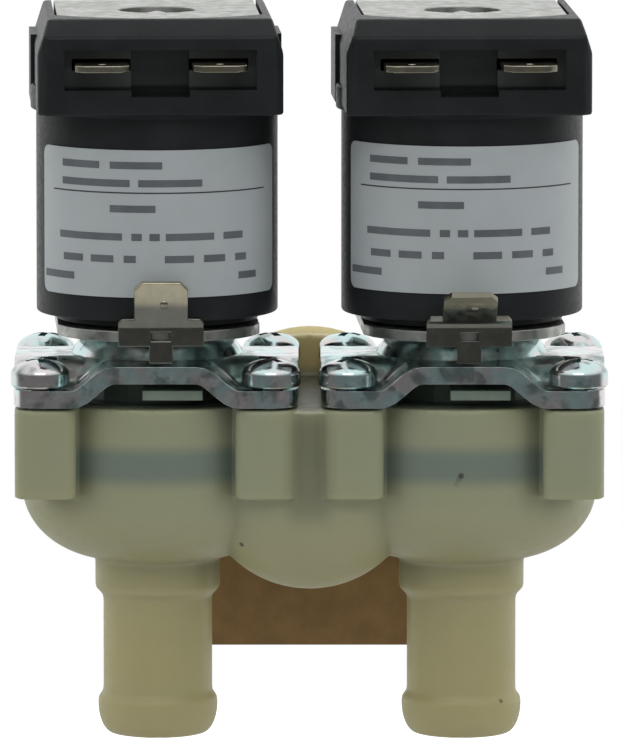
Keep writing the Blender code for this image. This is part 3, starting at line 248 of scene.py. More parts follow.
# Places of what shows in the materials, in the row's frame
REAR_WALL_Y = -0.0063
REAR_WALL_LIT_Z = (0.0262, 0.0285)
VALLEY_HALF_WIDTH = 0.0025
VALLEY_Z = (0.0135, 0.0260)
RIM_BAND_Z = (0.0180, 0.0220)
LINE_HALF_WIDTH = 0.0017
LINE_Z = (0.0262, 0.0266)
LINE_Y = (-0.034, -0.036)
POCKET_LIGHT_Y = (-0.0382, -0.0338)
POCKET_LIGHT_Z = (0.0644, 0.0691)
TAB_FOOT_Z = (0.0385, 0.0395)
TAB_TIP_Z = (0.0395, 0.0500)
TAB_LEANING_Y = (-0.0418, -0.0400)
SPECKS = (
    ((-0.00792, -0.03464, 0.01033), 0.00042, 0.85),
    ((0.01772, -0.03927, 0.01898), 0.00045, 0.80),
    ((0.01745, -0.03927, 0.01850), 0.00040, 0.35),
    ((0.01715, -0.03927, 0.01800), 0.00038, 0.22),
    ((0.02265, -0.02845, -0.00925), 0.00036, 0.70),
)

# Camera: pixels of the photograph to places
IMAGE_SIZE = (623, 753)
FOCAL_PIXELS = 10140
CAMERA_DISTANCE = 1.2
CAMERA_PITCH = math.radians(6.8)
CAMERA_TARGET = Vector((0.00024, -0.0233, 0.02879))
SENSOR = 36.0

# Floor and world. Each ramp: where it starts and ends, and its strength there.
FLOOR_Z = -0.045
FLOOR_HALF = 0.22
FLOOR_GREY = 0.82
FLOOR_ROUGHNESS = 0.9
FLOOR_GLOW = 0.75
ROOM_RAMP = (-0.97, -0.35, 0.26, 0.66)
MIRRORED_BEHIND_RAMP = (-0.05, 0.45, 0.155, 1.0)
MIRRORED_ABOVE_RAMP = (0.0, 0.75, 0.0, 1.0)


def srgb(red, green, blue):
    """Linear colour from 8-bit screen values."""
    linear = []
    for value in (red, green, blue):
        share = value / 255
        linear.append(share / 12.92 if share <= 0.04045 else ((share + 0.055) / 1.055) ** 2.4)
    return tuple(linear)


def new_object(name, bm, material, body="valve", nodes=()):
    """Put a finished bmesh into the scene as a piece that rides on a CAD body."""
    mesh = bpy.data.meshes.new(name)
    bm.to_mesh(mesh)
    bm.free()
    obj = bpy.data.objects.new(name, mesh)
    bpy.context.scene.collection.objects.link(obj)
    obj.data.materials.append(material)
    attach(obj, body)
    if nodes:
        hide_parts(*nodes)
    return obj


def scratch_object(bm):
    mesh = bpy.data.meshes.new("scratch")
    bm.to_mesh(mesh)
    bm.free()
    obj = bpy.data.objects.new("scratch", mesh)
    bpy.context.scene.collection.objects.link(obj)
    return obj


def finished(obj, leftovers=()):
    """Evaluate an object's modifiers into a new bmesh, and remove the object and its helpers."""
    depsgraph = bpy.context.evaluated_depsgraph_get()
    bm = bmesh.new()
    bm.from_object(obj, depsgraph)
    for item in (obj, *leftovers):
        mesh = item.data
        bpy.data.objects.remove(item)
        bpy.data.meshes.remove(mesh)
    return bm


def combined(base, unions=(), cuts=()):
    """Join a bmesh with others and cut the result, each in one exact Boolean."""
    obj = scratch_object(base)
    helpers = []
    groups = []
    for operation, forms in (("UNION", unions), ("DIFFERENCE", cuts)):
        if not forms:
            continue
        group = bpy.data.collections.new(operation.lower())
        bpy.context.scene.collection.children.link(group)
        for bm in forms:
            helper = scratch_object(bm)
            bpy.context.scene.collection.objects.unlink(helper)
            group.objects.link(helper)
            helpers.append(helper)
        modifier = obj.modifiers.new(operation, "BOOLEAN")
        modifier.operation = operation
        modifier.solver = "EXACT"
        modifier.operand_type = "COLLECTION"
        modifier.collection = group
        groups.append(group)
    bm = finished(obj, helpers)
    for group in groups:
        bpy.data.collections.remove(group)
    return bm


def melted(bm, voxel, smoothing, keep):
    """Remesh a moulding finely and smooth it, so that its inner and outer corners are rounded."""
    obj = scratch_object(bm)
    remesh = obj.modifiers.new("voxels", "REMESH")
    remesh.mode = "VOXEL"
    remesh.voxel_size = voxel
    smooth = obj.modifiers.new("soften", "SMOOTH")
    smooth.factor = 0.5
    smooth.iterations = smoothing
    thin = obj.modifiers.new("thin", "DECIMATE")
    thin.ratio = keep
    return finished(obj)


def shade(obj, angle=None):
    """Smooth shading, with sharp edges above an angle in degrees."""
    obj.data.shade_smooth()
    if angle is not None:
        obj.data.set_sharp_from_angle(angle=math.radians(angle))
    return obj


def crisp(obj):
    """Keep flat faces flat up to their rounded edges."""
    modifier = obj.modifiers.new("crisp", "WEIGHTED_NORMAL")
    modifier.keep_sharp = True
    return obj


def arc(center, radii, start, end, steps):
    points = []
    for i in range(steps + 1):
        angle = math.radians(start + (end - start) * i / steps)
        points.append((center[0] + radii[0] * math.cos(angle), center[1] + radii[1] * math.sin(angle)))
    return points


def around(radius, angle, height):
    return (radius * math.cos(angle), radius * math.sin(angle), height)


def rounded(points, steps=4):
    """Round the corners of a profile of (radius, height, corner radius) points."""
    path = []
    for i, (across, height, radius) in enumerate(points):
        here = Vector((across, height))
        if radius < TINY:
            path.append((across, height))
            continue
        before = Vector(points[i - 1][:2]) - here
        after = Vector(points[(i + 1) % len(points)][:2]) - here
        reach = radius / math.tan(before.angle(after) / 2)
        reach = min(reach, before.length * CORNER_REACH, after.length * CORNER_REACH)
        start = here + before.normalized() * reach
        end = here + after.normalized() * reach
        for k in range(steps + 1):
            t = k / steps
            point = start * (1 - t) ** 2 + here * 2 * t * (1 - t) + end * t**2
            path.append(tuple(point))
    return path


def turned(profile, steps, place=Matrix()):
    """Turn a profile of (radius, height) points about Z, from top to bottom on its outer side."""
    bm = bmesh.new()
    rings = []
    for radius, height in profile:
        count = 1 if radius < TINY else steps
        ring = []
        for i in range(count):
            ring.append(bm.verts.new(around(radius, math.tau * i / steps, height)))
        rings.append(ring)
    pairs = list(zip(rings, rings[1:]))
    if profile[0][0] > TINY:
        pairs.append((rings[-1], rings[0]))
    for upper, lower in pairs:
        for i in range(steps):
            j = (i + 1) % steps
            places = ((upper, i), (lower, i), (lower, j), (upper, j))
            corners = list(dict.fromkeys(ring[k % len(ring)] for ring, k in places))
            if len(corners) > 2:
                bm.faces.new(corners)
    bmesh.ops.recalc_face_normals(bm, faces=bm.faces)
    bm.transform(place)
    return bm


def capped_tube(bm, rows):
    """Join rings of points into a tube and close its ends."""
    for first, second in zip(rows, rows[1:]):
        for k in range(len(first)):
            j = (k + 1) % len(first)
            bm.faces.new((first[k], first[j], second[j], second[k]))
    bm.faces.new(rows[0])
    bm.faces.new(rows[-1])
    bmesh.ops.recalc_face_normals(bm, faces=bm.faces)


def box(low, high, upright=0.0):
    """A box whose upright edges can be rounded."""
    bm = bmesh.new()
    size = Vector(high) - Vector(low)
    middle = (Vector(high) + Vector(low)) / 2
    bmesh.ops.create_cube(bm, size=1.0, matrix=Matrix.Translation(middle) @ Matrix.Diagonal((*size, 1)))
    if upright > 0:
        edges = [item for item in bm.edges if abs((item.verts[0].co - item.verts[1].co).z) > TINY]
        bmesh.ops.bevel(bm, geom=edges, offset=upright, segments=6, affect="EDGES", profile=0.5)
    return bm


def cylinder(radius, start, end, steps=48):
    start = Vector(start)
    end = Vector(end)
    bm = bmesh.new()
    axis = end - start
    place = Matrix.Translation((start + end) / 2) @ axis.to_track_quat("Z", "Y").to_matrix().to_4x4()
    sizes = {"radius1": radius, "radius2": radius, "depth": axis.length}
    bmesh.ops.create_cone(bm, cap_ends=True, segments=steps, matrix=place, **sizes)
    return bm


def prism(outline, depth):
    """Extrude a flat outline of 3-D points by a vector."""
    bm = bmesh.new()
    face = bm.faces.new([bm.verts.new(point) for point in outline])
    made = bmesh.ops.extrude_face_region(bm, geom=[face])
    moved = [item for item in made["geom"] if isinstance(item, bmesh.types.BMVert)]
    bmesh.ops.translate(bm, verts=moved, vec=depth)
    bmesh.ops.recalc_face_normals(bm, faces=bm.faces)
    return bm


def valve_place(side):
    sign = -1 if side == "left" else 1
    return DATUM @ Matrix.Translation((sign * VALVE_PITCH / 2, 0, 0))


def coil_place(side):
    return valve_place(side) @ Matrix.Rotation(COIL_YAW, 4, "Z")


def inlet_place():
    """Turns a profile's height into +Y along the inlet's axis."""
    return DATUM @ Matrix.Translation((0, 0, INLET_AXIS_Z)) @ Matrix.Rotation(math.radians(-90), 4, "X")


# Body


def chamber(side):
    bowl = arc(
        (BOWL_FLAT_RADIUS, BOWL_TOP_Z),
        (CHAMBER_RADIUS - BOWL_FLAT_RADIUS, BOWL_TOP_Z - BOWL_BOTTOM_Z),
        0,
        -84,
        18,
    )
    nose = arc(
        (NOZZLE_END_RADIUS, BARB_Z - BARB_LAND),
        (BARB_RADIUS - NOZZLE_END_RADIUS, BARB_Z - BARB_LAND - NOZZLE_END_Z),
        0,
        -90,
        8,
    )
    chamfer = NOZZLE_COLLAR_RADIUS - NOZZLE_RADIUS
    top = BODY_TOP_Z + TRIM_ALLOWANCE
    profile = [
        (0, top),
        (CHAMBER_RADIUS, top),
        *bowl,
        (NOZZLE_COLLAR_RADIUS, BOWL_BOTTOM_Z),
        (NOZZLE_COLLAR_RADIUS, NOZZLE_COLLAR_Z),
        (NOZZLE_RADIUS, NOZZLE_COLLAR_Z - chamfer),
        (NOZZLE_RADIUS, BARB_Z + BARB_SHOULDER),
        (BARB_RADIUS, BARB_Z),
        *nose,
        (0, NOZZLE_END_Z),
    ]
    return turned(profile, 96, valve_place(side))


def chamber_hollow(side):
    fillet = (RIM_LEDGE_RADIUS - SEAT_RADIUS) / 4
    profile = [
        (0, CHAMBER_BORE_RADIUS),
        (CHAMBER_BORE_RADIUS, CHAMBER_BORE_RADIUS),
        (CHAMBER_BORE_RADIUS, RIM_LEDGE_Z),
        (RIM_LEDGE_RADIUS, RIM_LEDGE_Z),
        (RIM_LEDGE_RADIUS, RING_CHANNEL_Z + fillet),
        (RIM_LEDGE_RADIUS - fillet, RING_CHANNEL_Z),
        (SEAT_RADIUS + fillet, RING_CHANNEL_Z),
        (SEAT_RADIUS, RING_CHANNEL_Z + fillet),
        (SEAT_RADIUS, SEAT_Z),
        (OUTLET_BORE_RADIUS, SEAT_Z),
        (OUTLET_BORE_RADIUS, NOZZLE_END_Z - OUTLET_BORE_RADIUS),
        (0, NOZZLE_END_Z - OUTLET_BORE_RADIUS),
    ]
    return turned(profile, 64, valve_place(side))


def barrel():
    nose = arc((0, BARREL_FRONT_Y + BARREL_NOSE_LENGTH), (BARREL_RADIUS, BARREL_NOSE_LENGTH), 0, -90, 18)
    core = THREAD_RADIUS - THREAD_DEPTH
    profile = [
        (0, INLET_END_Y),
        (core - EDGE, INLET_END_Y),
        (core, INLET_END_Y - EDGE),
        (core, INLET_WALL_END_Y),
        (INLET_WALL_RADIUS, INLET_WALL_END_Y),
        (INLET_WALL_RADIUS, INLET_WALL_Y),
        (BARREL_RADIUS, INLET_WALL_Y),
        *nose[:-1],
        (0, BARREL_FRONT_Y),
    ]
    return turned(profile, 96, inlet_place())


def feed():
    outside = INLET_END_Y + INLET_BORE_RADIUS
    bore_end = INLET_END_Y - INLET_BORE_DEPTH
    profile = [
        (0, outside),
        (INLET_BORE_RADIUS, outside),
        (INLET_BORE_RADIUS, bore_end),
        (FEED_RADIUS, bore_end - INLET_BORE_RADIUS + FEED_RADIUS),
        (FEED_RADIUS, FEED_END_Y + FEED_RADIUS),
        (0, FEED_END_Y),
    ]
    return turned(profile, 64, inlet_place())


def bosses(side):
    bm = bmesh.new()
    inner = BOSS_OUTER - BOSS_WIDTH
    top = BODY_TOP_Z + 2 * TRIM_ALLOWANCE
    for sx, sy in CORNERS:
        xs = sorted((sx * inner, sx * BOSS_OUTER))
        ys = sorted((sy * inner, sy * BOSS_OUTER))
        piece = box((xs[0], ys[0], BOSS_BOTTOM_Z), (xs[1], ys[1], top), BOSS_ROUND)
        mesh = bpy.data.meshes.new("boss")
        piece.to_mesh(mesh)
        piece.free()
        bm.from_mesh(mesh)
        bpy.data.meshes.remove(mesh)
    bm.transform(valve_place(side))
    return bm


def dress_body(material):
    """The cream moulding, with every corner softened as a moulded one is."""
    web = box(
        (-WEB_HALF_WIDTH, WEB_FRONT_Y, WEB_BOTTOM_Z),
        (WEB_HALF_WIDTH, (INLET_WALL_Y + INLET_WALL_END_Y) / 2, WEB_TOP_Z),
    )
    web.transform(DATUM)
    low = (-BOSS_OUTER * 4, -BOSS_OUTER * 2, BODY_TOP_Z)
    trim = box(low, (BOSS_OUTER * 4, INLET_WALL_Y, BARREL_RADIUS))
    trim.transform(DATUM)
    unions = [barrel()]
    cuts = [trim, feed()]
    for side in ("left", "right"):
        unions += [chamber(side), bosses(side)]
        cuts.append(chamber_hollow(side))
    bm = melted(combined(web, unions, cuts), BODY_VOXEL, BODY_SMOOTHING, BODY_KEEP)
    return shade(new_object("body_moulding", bm, material, nodes=["valve_body"]))


def dress_thread(material):
    """Helical thread round the inlet stub, tapering off at both ends."""
    bm = bmesh.new()
    turns = (INLET_END_Y - THREAD_START_Y - THREAD_PITCH) / THREAD_PITCH
    count = round(turns * THREAD_STEPS)
    root = THREAD_RADIUS - THREAD_DEPTH
    sunk = root - EDGE
    rows = []
    for i in range(count + 1):
        angle = math.tau * i / THREAD_STEPS
        middle = THREAD_START_Y + THREAD_PITCH * (0.5 + i / THREAD_STEPS)
        grow = min(1.0, (i + 1) / THREAD_FADE_STEPS, (count - i + 1) / THREAD_FADE_STEPS)
        half = THREAD_ROOT_HALF * grow
        rise = [(sunk, -half), (root, -half), (root + THREAD_DEPTH * grow, -THREAD_CREST_HALF)]
        section = rise + [(radius, -along) for radius, along in reversed(rise)]
        rows.append([bm.verts.new(around(radius, angle, middle + along)) for radius, along in section])
    capped_tube(bm, rows)
    bm.transform(inlet_place())
    return shade(new_object("inlet_thread", bm, material), 40)


# Cover plates and screws


def slope(distance):
    part = (abs(distance) - COVER_SLOPE_START) / (COVER_SLOPE_END - COVER_SLOPE_START)
    part = min(max(part, 0.0), 1.0)
    return part * part * (3 - 2 * part)


def cover_height(x, y):
    return COVER_SHEET / 2 + COVER_RAISE * (1 - slope(x) * slope(y))


def cover_profile():
    """(radius, height) of the sheet's middle from the cup's hole to its foot."""
    top = COVER_CUP_HEIGHT - COVER_SHEET / 2
    foot = COVER_SHEET / 2 + COVER_RAISE
    fall = (top - foot) / 2
    start = COVER_CUP_RADIUS - fall * CUP_FLANK[0]
    end = COVER_CUP_RADIUS + fall * CUP_FLANK[1]
    points = [(COVER_CUP_HOLE, top), ((COVER_CUP_HOLE + start) / 2, top)]
    for i in range(CUP_FLANK_STEPS + 1):
        part = i / CUP_FLANK_STEPS
        ease = part * part * (3 - 2 * part)
        points.append((start + (end - start) * part, top + (foot - top) * ease))
    return points


def dress_cover(side, material):
    bm = bmesh.new()
    rings = []
    for radius, height in cover_profile():
        ring = []
        for i in range(COVER_STEPS):
            ring.append(bm.verts.new(around(radius, math.tau * i / COVER_STEPS, height)))
        rings.append(ring)
    start = cover_profile()[-1][0]
    power = COVER_CORNER_POWER
    for k in range(1, COVER_RINGS + 1):
        ring = []
        for i in range(COVER_STEPS):
            angle = math.tau * i / COVER_STEPS
            cos = math.cos(angle)
            sin = math.sin(angle)
            edge = COVER_HALF_WIDTH / (abs(cos) ** power + abs(sin) ** power) ** (1 / power)
            radius = start + (edge - start) * k / COVER_RINGS
            x = radius * cos
            y = radius * sin
            ring.append(bm.verts.new((x, y, cover_height(x, y))))
        rings.append(ring)
    for inner, outer in zip(rings, rings[1:]):
        for i in range(COVER_STEPS):
            j = (i + 1) % COVER_STEPS
            bm.faces.new((inner[i], outer[i], outer[j], inner[j]))
    bm.transform(valve_place(side))
    obj = scratch_object(bm)
    sheet = obj.modifiers.new("sheet", "SOLIDIFY")
    sheet.thickness = COVER_SHEET
    sheet.offset = 0
    sheet.use_even_offset = True
    rim = obj.modifiers.new("rim", "BEVEL")
    rim.width = COVER_EDGE
    rim.segments = 3
    rim.limit_method = "ANGLE"
    rim.angle_limit = math.radians(60)
    bm = finished(obj)
    holes = []
    for sx, sy in CORNERS:
        x = sx * SCREW_SPACING / 2
        y = sy * SCREW_SPACING / 2
        hole = cylinder(SCREW_HOLE_RADIUS, (x, y, -COVER_SHEET), (x, y, 2 * COVER_SHEET), 32)
        hole.transform(valve_place(side))
        holes.append(hole)
    bm = combined(bm, cuts=holes)
    cover = new_object(f"cover_{side}", bm, material, nodes=[f"cover_plate_{side}"])
    return crisp(shade(cover, 40))


def screw_form():
    end = SCREW_END_Z - SCREW_SEAT_Z
    dome = arc((0, SCREW_RIM_HEIGHT), (SCREW_HEAD_RADIUS, SCREW_HEAD_HEIGHT - SCREW_RIM_HEIGHT), 90, 0, 12)
    profile = [
        *dome,
        (SCREW_HEAD_RADIUS, EDGE / 2),
        (SCREW_HEAD_RADIUS - EDGE / 2, 0),
        (SCREW_SHANK_RADIUS, 0),
        (SCREW_SHANK_RADIUS, end + SCREW_SHANK_RADIUS),
        (0, end),
    ]
    profile[0] = (0, SCREW_HEAD_HEIGHT)
    long = RECESS_SPAN / 2
    short = RECESS_WIDTH / 2
    outline = []
    for i in range(4):
        turn = Matrix.Rotation(math.radians(90 * i), 2)
        outline += [tuple(turn @ Vector(point)) for point in ((long, short), (short, short), (short, long))]
    bottom = SCREW_HEAD_HEIGHT - RECESS_DEPTH
    cross = prism([(x, y, bottom) for x, y in outline], (0, 0, 2 * RECESS_DEPTH))
    return combined(turned(profile, 48), cuts=[cross])


def dress_screws(side, material):
    mirror = 1 if side == "left" else -1
    for place, (sx, sy, turn) in SCREW_TURNS.items():
        bm = screw_form()
        at = Matrix.Translation((mirror * sx * SCREW_SPACING / 2, sy * SCREW_SPACING / 2, SCREW_SEAT_Z))
        bm.transform(valve_place(side) @ at @ Matrix.Rotation(math.radians(turn * mirror), 4, "Z"))
        title = f"screw_{place}_{side}"
        crisp(shade(new_object(f"dressed_{title}", bm, material, nodes=[title]), 40))


# Coil


def head_block():
    """Terminal head: a block cut by sloping planes, all its edges rounded."""
    section = [
        (-HEAD_HALF_WIDTH, HEAD_BOTTOM_Z),
        (HEAD_HALF_WIDTH, HEAD_BOTTOM_Z),
        (HEAD_HALF_WIDTH, HEAD_SHOULDER_Z),
        (HEAD_TOP_HALF_WIDTH, HEAD_TOP_Z),
        (-HEAD_TOP_HALF_WIDTH, HEAD_TOP_Z),
        (-HEAD_HALF_WIDTH, HEAD_SHOULDER_Z),
    ]
    bm = prism([(x, HEAD_FRONT_Y, z) for x, z in section], (0, HEAD_BACK_Y - HEAD_FRONT_Y, 0))
    rise = HEAD_TOP_Z - HEAD_BEVEL_Z
    run = HEAD_BEVEL_Y - HEAD_FRONT_Y
    planes = [((0, HEAD_BEVEL_Y, HEAD_TOP_Z), (0, -rise, run))]
    for side in (-1, 1):
        planes.append(((side * (HEAD_HALF_WIDTH - HEAD_CORNER), HEAD_FRONT_Y, 0), (side, -1, 0)))
    for point, normal in planes:
        geometry = bm.verts[:] + bm.edges[:] + bm.faces[:]
        cut = bmesh.ops.bisect_plane(bm, geom=geometry, plane_co=point, plane_no=normal, clear_outer=True)
        edges = [item for item in cut["geom_cut"] if isinstance(item, bmesh.types.BMEdge)]
        bmesh.ops.contextual_create(bm, geom=edges)
    bmesh.ops.bevel(bm, geom=bm.edges[:], offset=HEAD_EDGE, segments=3, affect="EDGES", profile=0.5)
    bmesh.ops.recalc_face_normals(bm, faces=bm.faces)
    return bm


def lid_outline():
    half = YOKE_HALF_WIDTH + SEAT_GAP
    front = YOKE_LID_FRONT_Y - SEAT_GAP
    spread = math.degrees(math.asin(half / YOKE_LID_ARC))
    nose = arc((0, front + YOKE_LID_ARC), (YOKE_LID_ARC, YOKE_LID_ARC), 270 - spread, 270 + spread, 16)
    return [*nose, (half, HEAD_BACK_Y + half), (-half, HEAD_BACK_Y + half)]


def dress_coil(side, material):
    profile = rounded(
        [
            (0, COLLAR_TOP_Z, 0),
            (COLLAR_RADIUS, COLLAR_TOP_Z, EDGE),
            (COLLAR_RADIUS, COLLAR_BOTTOM_Z, EDGE),
            (COIL_RADIUS, COLLAR_BOTTOM_Z, EDGE / 2),
            (COIL_RADIUS, COIL_BOTTOM_Z, EDGE),
            (COIL_NECK_RADIUS, COIL_BOTTOM_Z, EDGE),
            (COIL_NECK_RADIUS, COIL_NECK_Z, 0),
            (0, COIL_NECK_Z, 0),
        ]
    )
    wing = HEAD_HALF_WIDTH + WING_OUT
    out = HEAD_FRONT_Y - POCKET_DEPTH
    wings = box((-wing, WING_FRONT_Y, HEAD_BOTTOM_Z), (wing, HEAD_BACK_Y - EDGE / 2, WING_TOP_Z), EDGE / 2)
    cuts = []
    low = (-COLLAR_RADIUS, HEAD_BACK_Y, COLLAR_BOTTOM_Z - EDGE)
    cuts.append(box(low, (COLLAR_RADIUS, HEAD_BACK_Y + COLLAR_RADIUS, HEAD_TOP_Z)))
    low = (-POCKET_HALF_WIDTH, out, POCKET_BOTTOM_Z)
    cuts.append(box(low, (POCKET_HALF_WIDTH, HEAD_FRONT_Y + POCKET_DEPTH, POCKET_TOP_Z)))
    low = (-KEYWAY_HALF_WIDTH, out, KEYWAY_BOTTOM_Z)
    cuts.append(box(low, (KEYWAY_HALF_WIDTH, HEAD_FRONT_Y + KEYWAY_DEPTH, POCKET_TOP_Z)))
    half = BLADE_WIDTH / 2 + SEAT_GAP
    thick = BLADE_THICKNESS / 2 + SEAT_GAP
    for x in (-BLADE_OFFSET, BLADE_OFFSET):
        low = (x - half, HEAD_FRONT_Y, BLADE_Z - thick)
        cuts.append(box(low, (x + half, BLADE_ROOT_Y + SEAT_GAP, BLADE_Z + thick)))
    floor = HEAD_TOP_Z - YOKE_SHEET - SEAT_GAP
    cuts.append(prism([(x, y, floor) for x, y in lid_outline()], (0, 0, 3 * YOKE_SHEET)))
    cuts.append(cylinder(YOKE_HOLE_RADIUS, (0, 0, 0), (0, 0, HEAD_TOP_Z + YOKE_SHEET)))
    bm = combined(turned(profile, 128), [head_block(), wings], cuts)
    bm.transform(coil_place(side))
    coil = new_object(f"coil_moulding_{side}", bm, material, nodes=[f"coil_{side}"])
    return crisp(shade(coil, 35))


def dress_edges(name, material, width, bumps=()):
    """A sheet-metal or moulded piece with the form of its solid and its sharp edges rounded."""
    node = frame["nodes"][name]
    bm = bmesh.new()
    bm.from_mesh(node.data)
    bm.transform(node.matrix_world)
    bmesh.ops.remove_doubles(bm, verts=bm.verts, dist=TINY)
    bmesh.ops.dissolve_limit(bm, angle_limit=math.radians(1), verts=bm.verts, edges=bm.edges)
    sharp = [edge for edge in bm.edges if edge.is_manifold and edge.calc_face_angle(0) > math.radians(35)]
    shape = {"offset": width, "segments": 2, "profile": 0.5, "clamp_overlap": True}
    bmesh.ops.bevel(bm, geom=sharp, affect="EDGES", **shape)
    if bumps:
        bm = combined(bm, unions=bumps)
    return crisp(shade(new_object(f"edged_{name}", bm, material, nodes=[name]), 35))


def tab_dimple(side):
    """Small raised dimple on the face of an earth tab."""
    bm = bmesh.new()
    lean = Matrix.Rotation(TAB_LEAN[side], 4, "X")
    flat = Matrix.Diagonal((1.0, DIMPLE_FLATNESS, 1.0, 1.0))
    place = Matrix.Translation(TAB_DIMPLE[side]) @ lean @ flat
    bmesh.ops.create_uvsphere(bm, u_segments=20, v_segments=10, radius=DIMPLE_RADIUS, matrix=place)
    return bm


def dress_spring(side, material):
    """Round-wire spring over an armature, wound at one length between the ends of the CAD spring; the real
    one shortens as the armature rises.
    """
    name = f"armature_spring_{side}"
    low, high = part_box(name)
    bottom = low[2] + SPRING_WIRE_RADIUS
    top = high[2] - SPRING_WIRE_RADIUS
    axis = valve_place(side).translation
    count = round(SPRING_TURNS * SPRING_STEPS)
    rise = (top - bottom) / (SPRING_TURNS * math.tau)
    bm = bmesh.new()
    rings = []
    for i in range(count + 1):
        angle = math.tau * i / SPRING_STEPS
        outward = Vector(around(1, angle, 0))
        along = Vector(around(SPRING_RADIUS, angle + math.pi / 2, rise)).normalized()
        center = Vector((axis.x, axis.y, bottom + (top - bottom) * i / count)) + outward * SPRING_RADIUS
        ring = []
        for k in range(WIRE_STEPS):
            turn = math.tau * k / WIRE_STEPS
            offset = outward * math.cos(turn) + along.cross(outward) * math.sin(turn)
            ring.append(bm.verts.new(center + offset * SPRING_WIRE_RADIUS))
        rings.append(ring)
    capped_tube(bm, rings)
    spring = shade(new_object(f"dressed_{name}", bm, material, nodes=[name]), 40)
    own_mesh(spring)


# Label


def label_patch(bm, angles, heights, radius, index):
    """A patch of the label's outer skin between two angles and two heights."""
    count = max(1, math.ceil((angles[1] - angles[0]) / (2 * LABEL_HALF_ANGLE / LABEL_STEPS)))
    column = []
    for i in range(count + 1):
        angle = -math.pi / 2 + angles[0] + (angles[1] - angles[0]) * i / count
        column.append([bm.verts.new(around(radius, angle, z)) for z in heights])
    for left, right in zip(column, column[1:]):
        face = bm.faces.new((left[0], right[0], right[1], left[1]))
        face.material_index = index
        face.smooth = True


def label_sheet():
    """The film with round corners, its columns crowded towards the ends."""
    bm = bmesh.new()
    outer = LABEL_RADIUS + LABEL_SHEET
    rows = []
    for i in range(LABEL_STEPS + 1):
        share = i / LABEL_STEPS * 2 - 1
        share = math.copysign(1 - (1 - abs(share)) ** LABEL_END_CROWDING, share)
        angle = share * LABEL_HALF_ANGLE
        from_end = (LABEL_HALF_ANGLE - abs(angle)) * LABEL_RADIUS
        inside = max(LABEL_CORNER - from_end, 0)
        drop = LABEL_CORNER - math.sqrt(max(LABEL_CORNER**2 - inside**2, 0))
        turn = -math.pi / 2 + angle
        bottom = LABEL_BOTTOM_Z + drop
        top = LABEL_TOP_Z - drop
        section = ((LABEL_RADIUS, bottom), (outer, bottom), (outer, top), (LABEL_RADIUS, top))
        rows.append([bm.verts.new(around(radius, turn, z)) for radius, z in section])
    capped_tube(bm, rows)
    return bm


def dress_label(side, paper, ink, faint_ink):
    """Pale label with a plain rule and rows of short bars in place of print."""
    bm = label_sheet()
    reach = LABEL_RADIUS + LABEL_SHEET
    print_radius = reach + PRINT_LIFT
    for z, bars in BAR_ROWS.items():
        for start, end in bars:
            angles = [math.asin(x * MILLIMETRE / reach) for x in (start, end)]
            label_patch(bm, angles, (z - BAR_HEIGHT / 2, z + BAR_HEIGHT / 2), print_radius, 2)
    label_patch(bm, (-RULE_HALF_ANGLE, RULE_HALF_ANGLE), (RULE_Z, RULE_Z + RULE_HEIGHT), print_radius, 1)
    bm.transform(coil_place(side) @ Matrix.Translation((0, 0, LABEL_RAISE[side])))
    obj = new_object(f"label_film_{side}", bm, paper, nodes=[f"label_{side}"])
    obj.data.materials.append(ink)
    obj.data.materials.append(faint_ink)
    return shade(obj, 40)


# Materials


def ramp(tree, value, low, high, to_low=0.0, to_high=1.0):
    node = tree.nodes.new("ShaderNodeMapRange")
    node.interpolation_type = "SMOOTHSTEP"
    for name, number in zip(("From Min", "From Max", "To Min", "To Max"), (low, high, to_low, to_high)):
        node.inputs[name].default_value = number
    tree.links.new(value, node.inputs["Value"])
    return node.outputs["Result"]


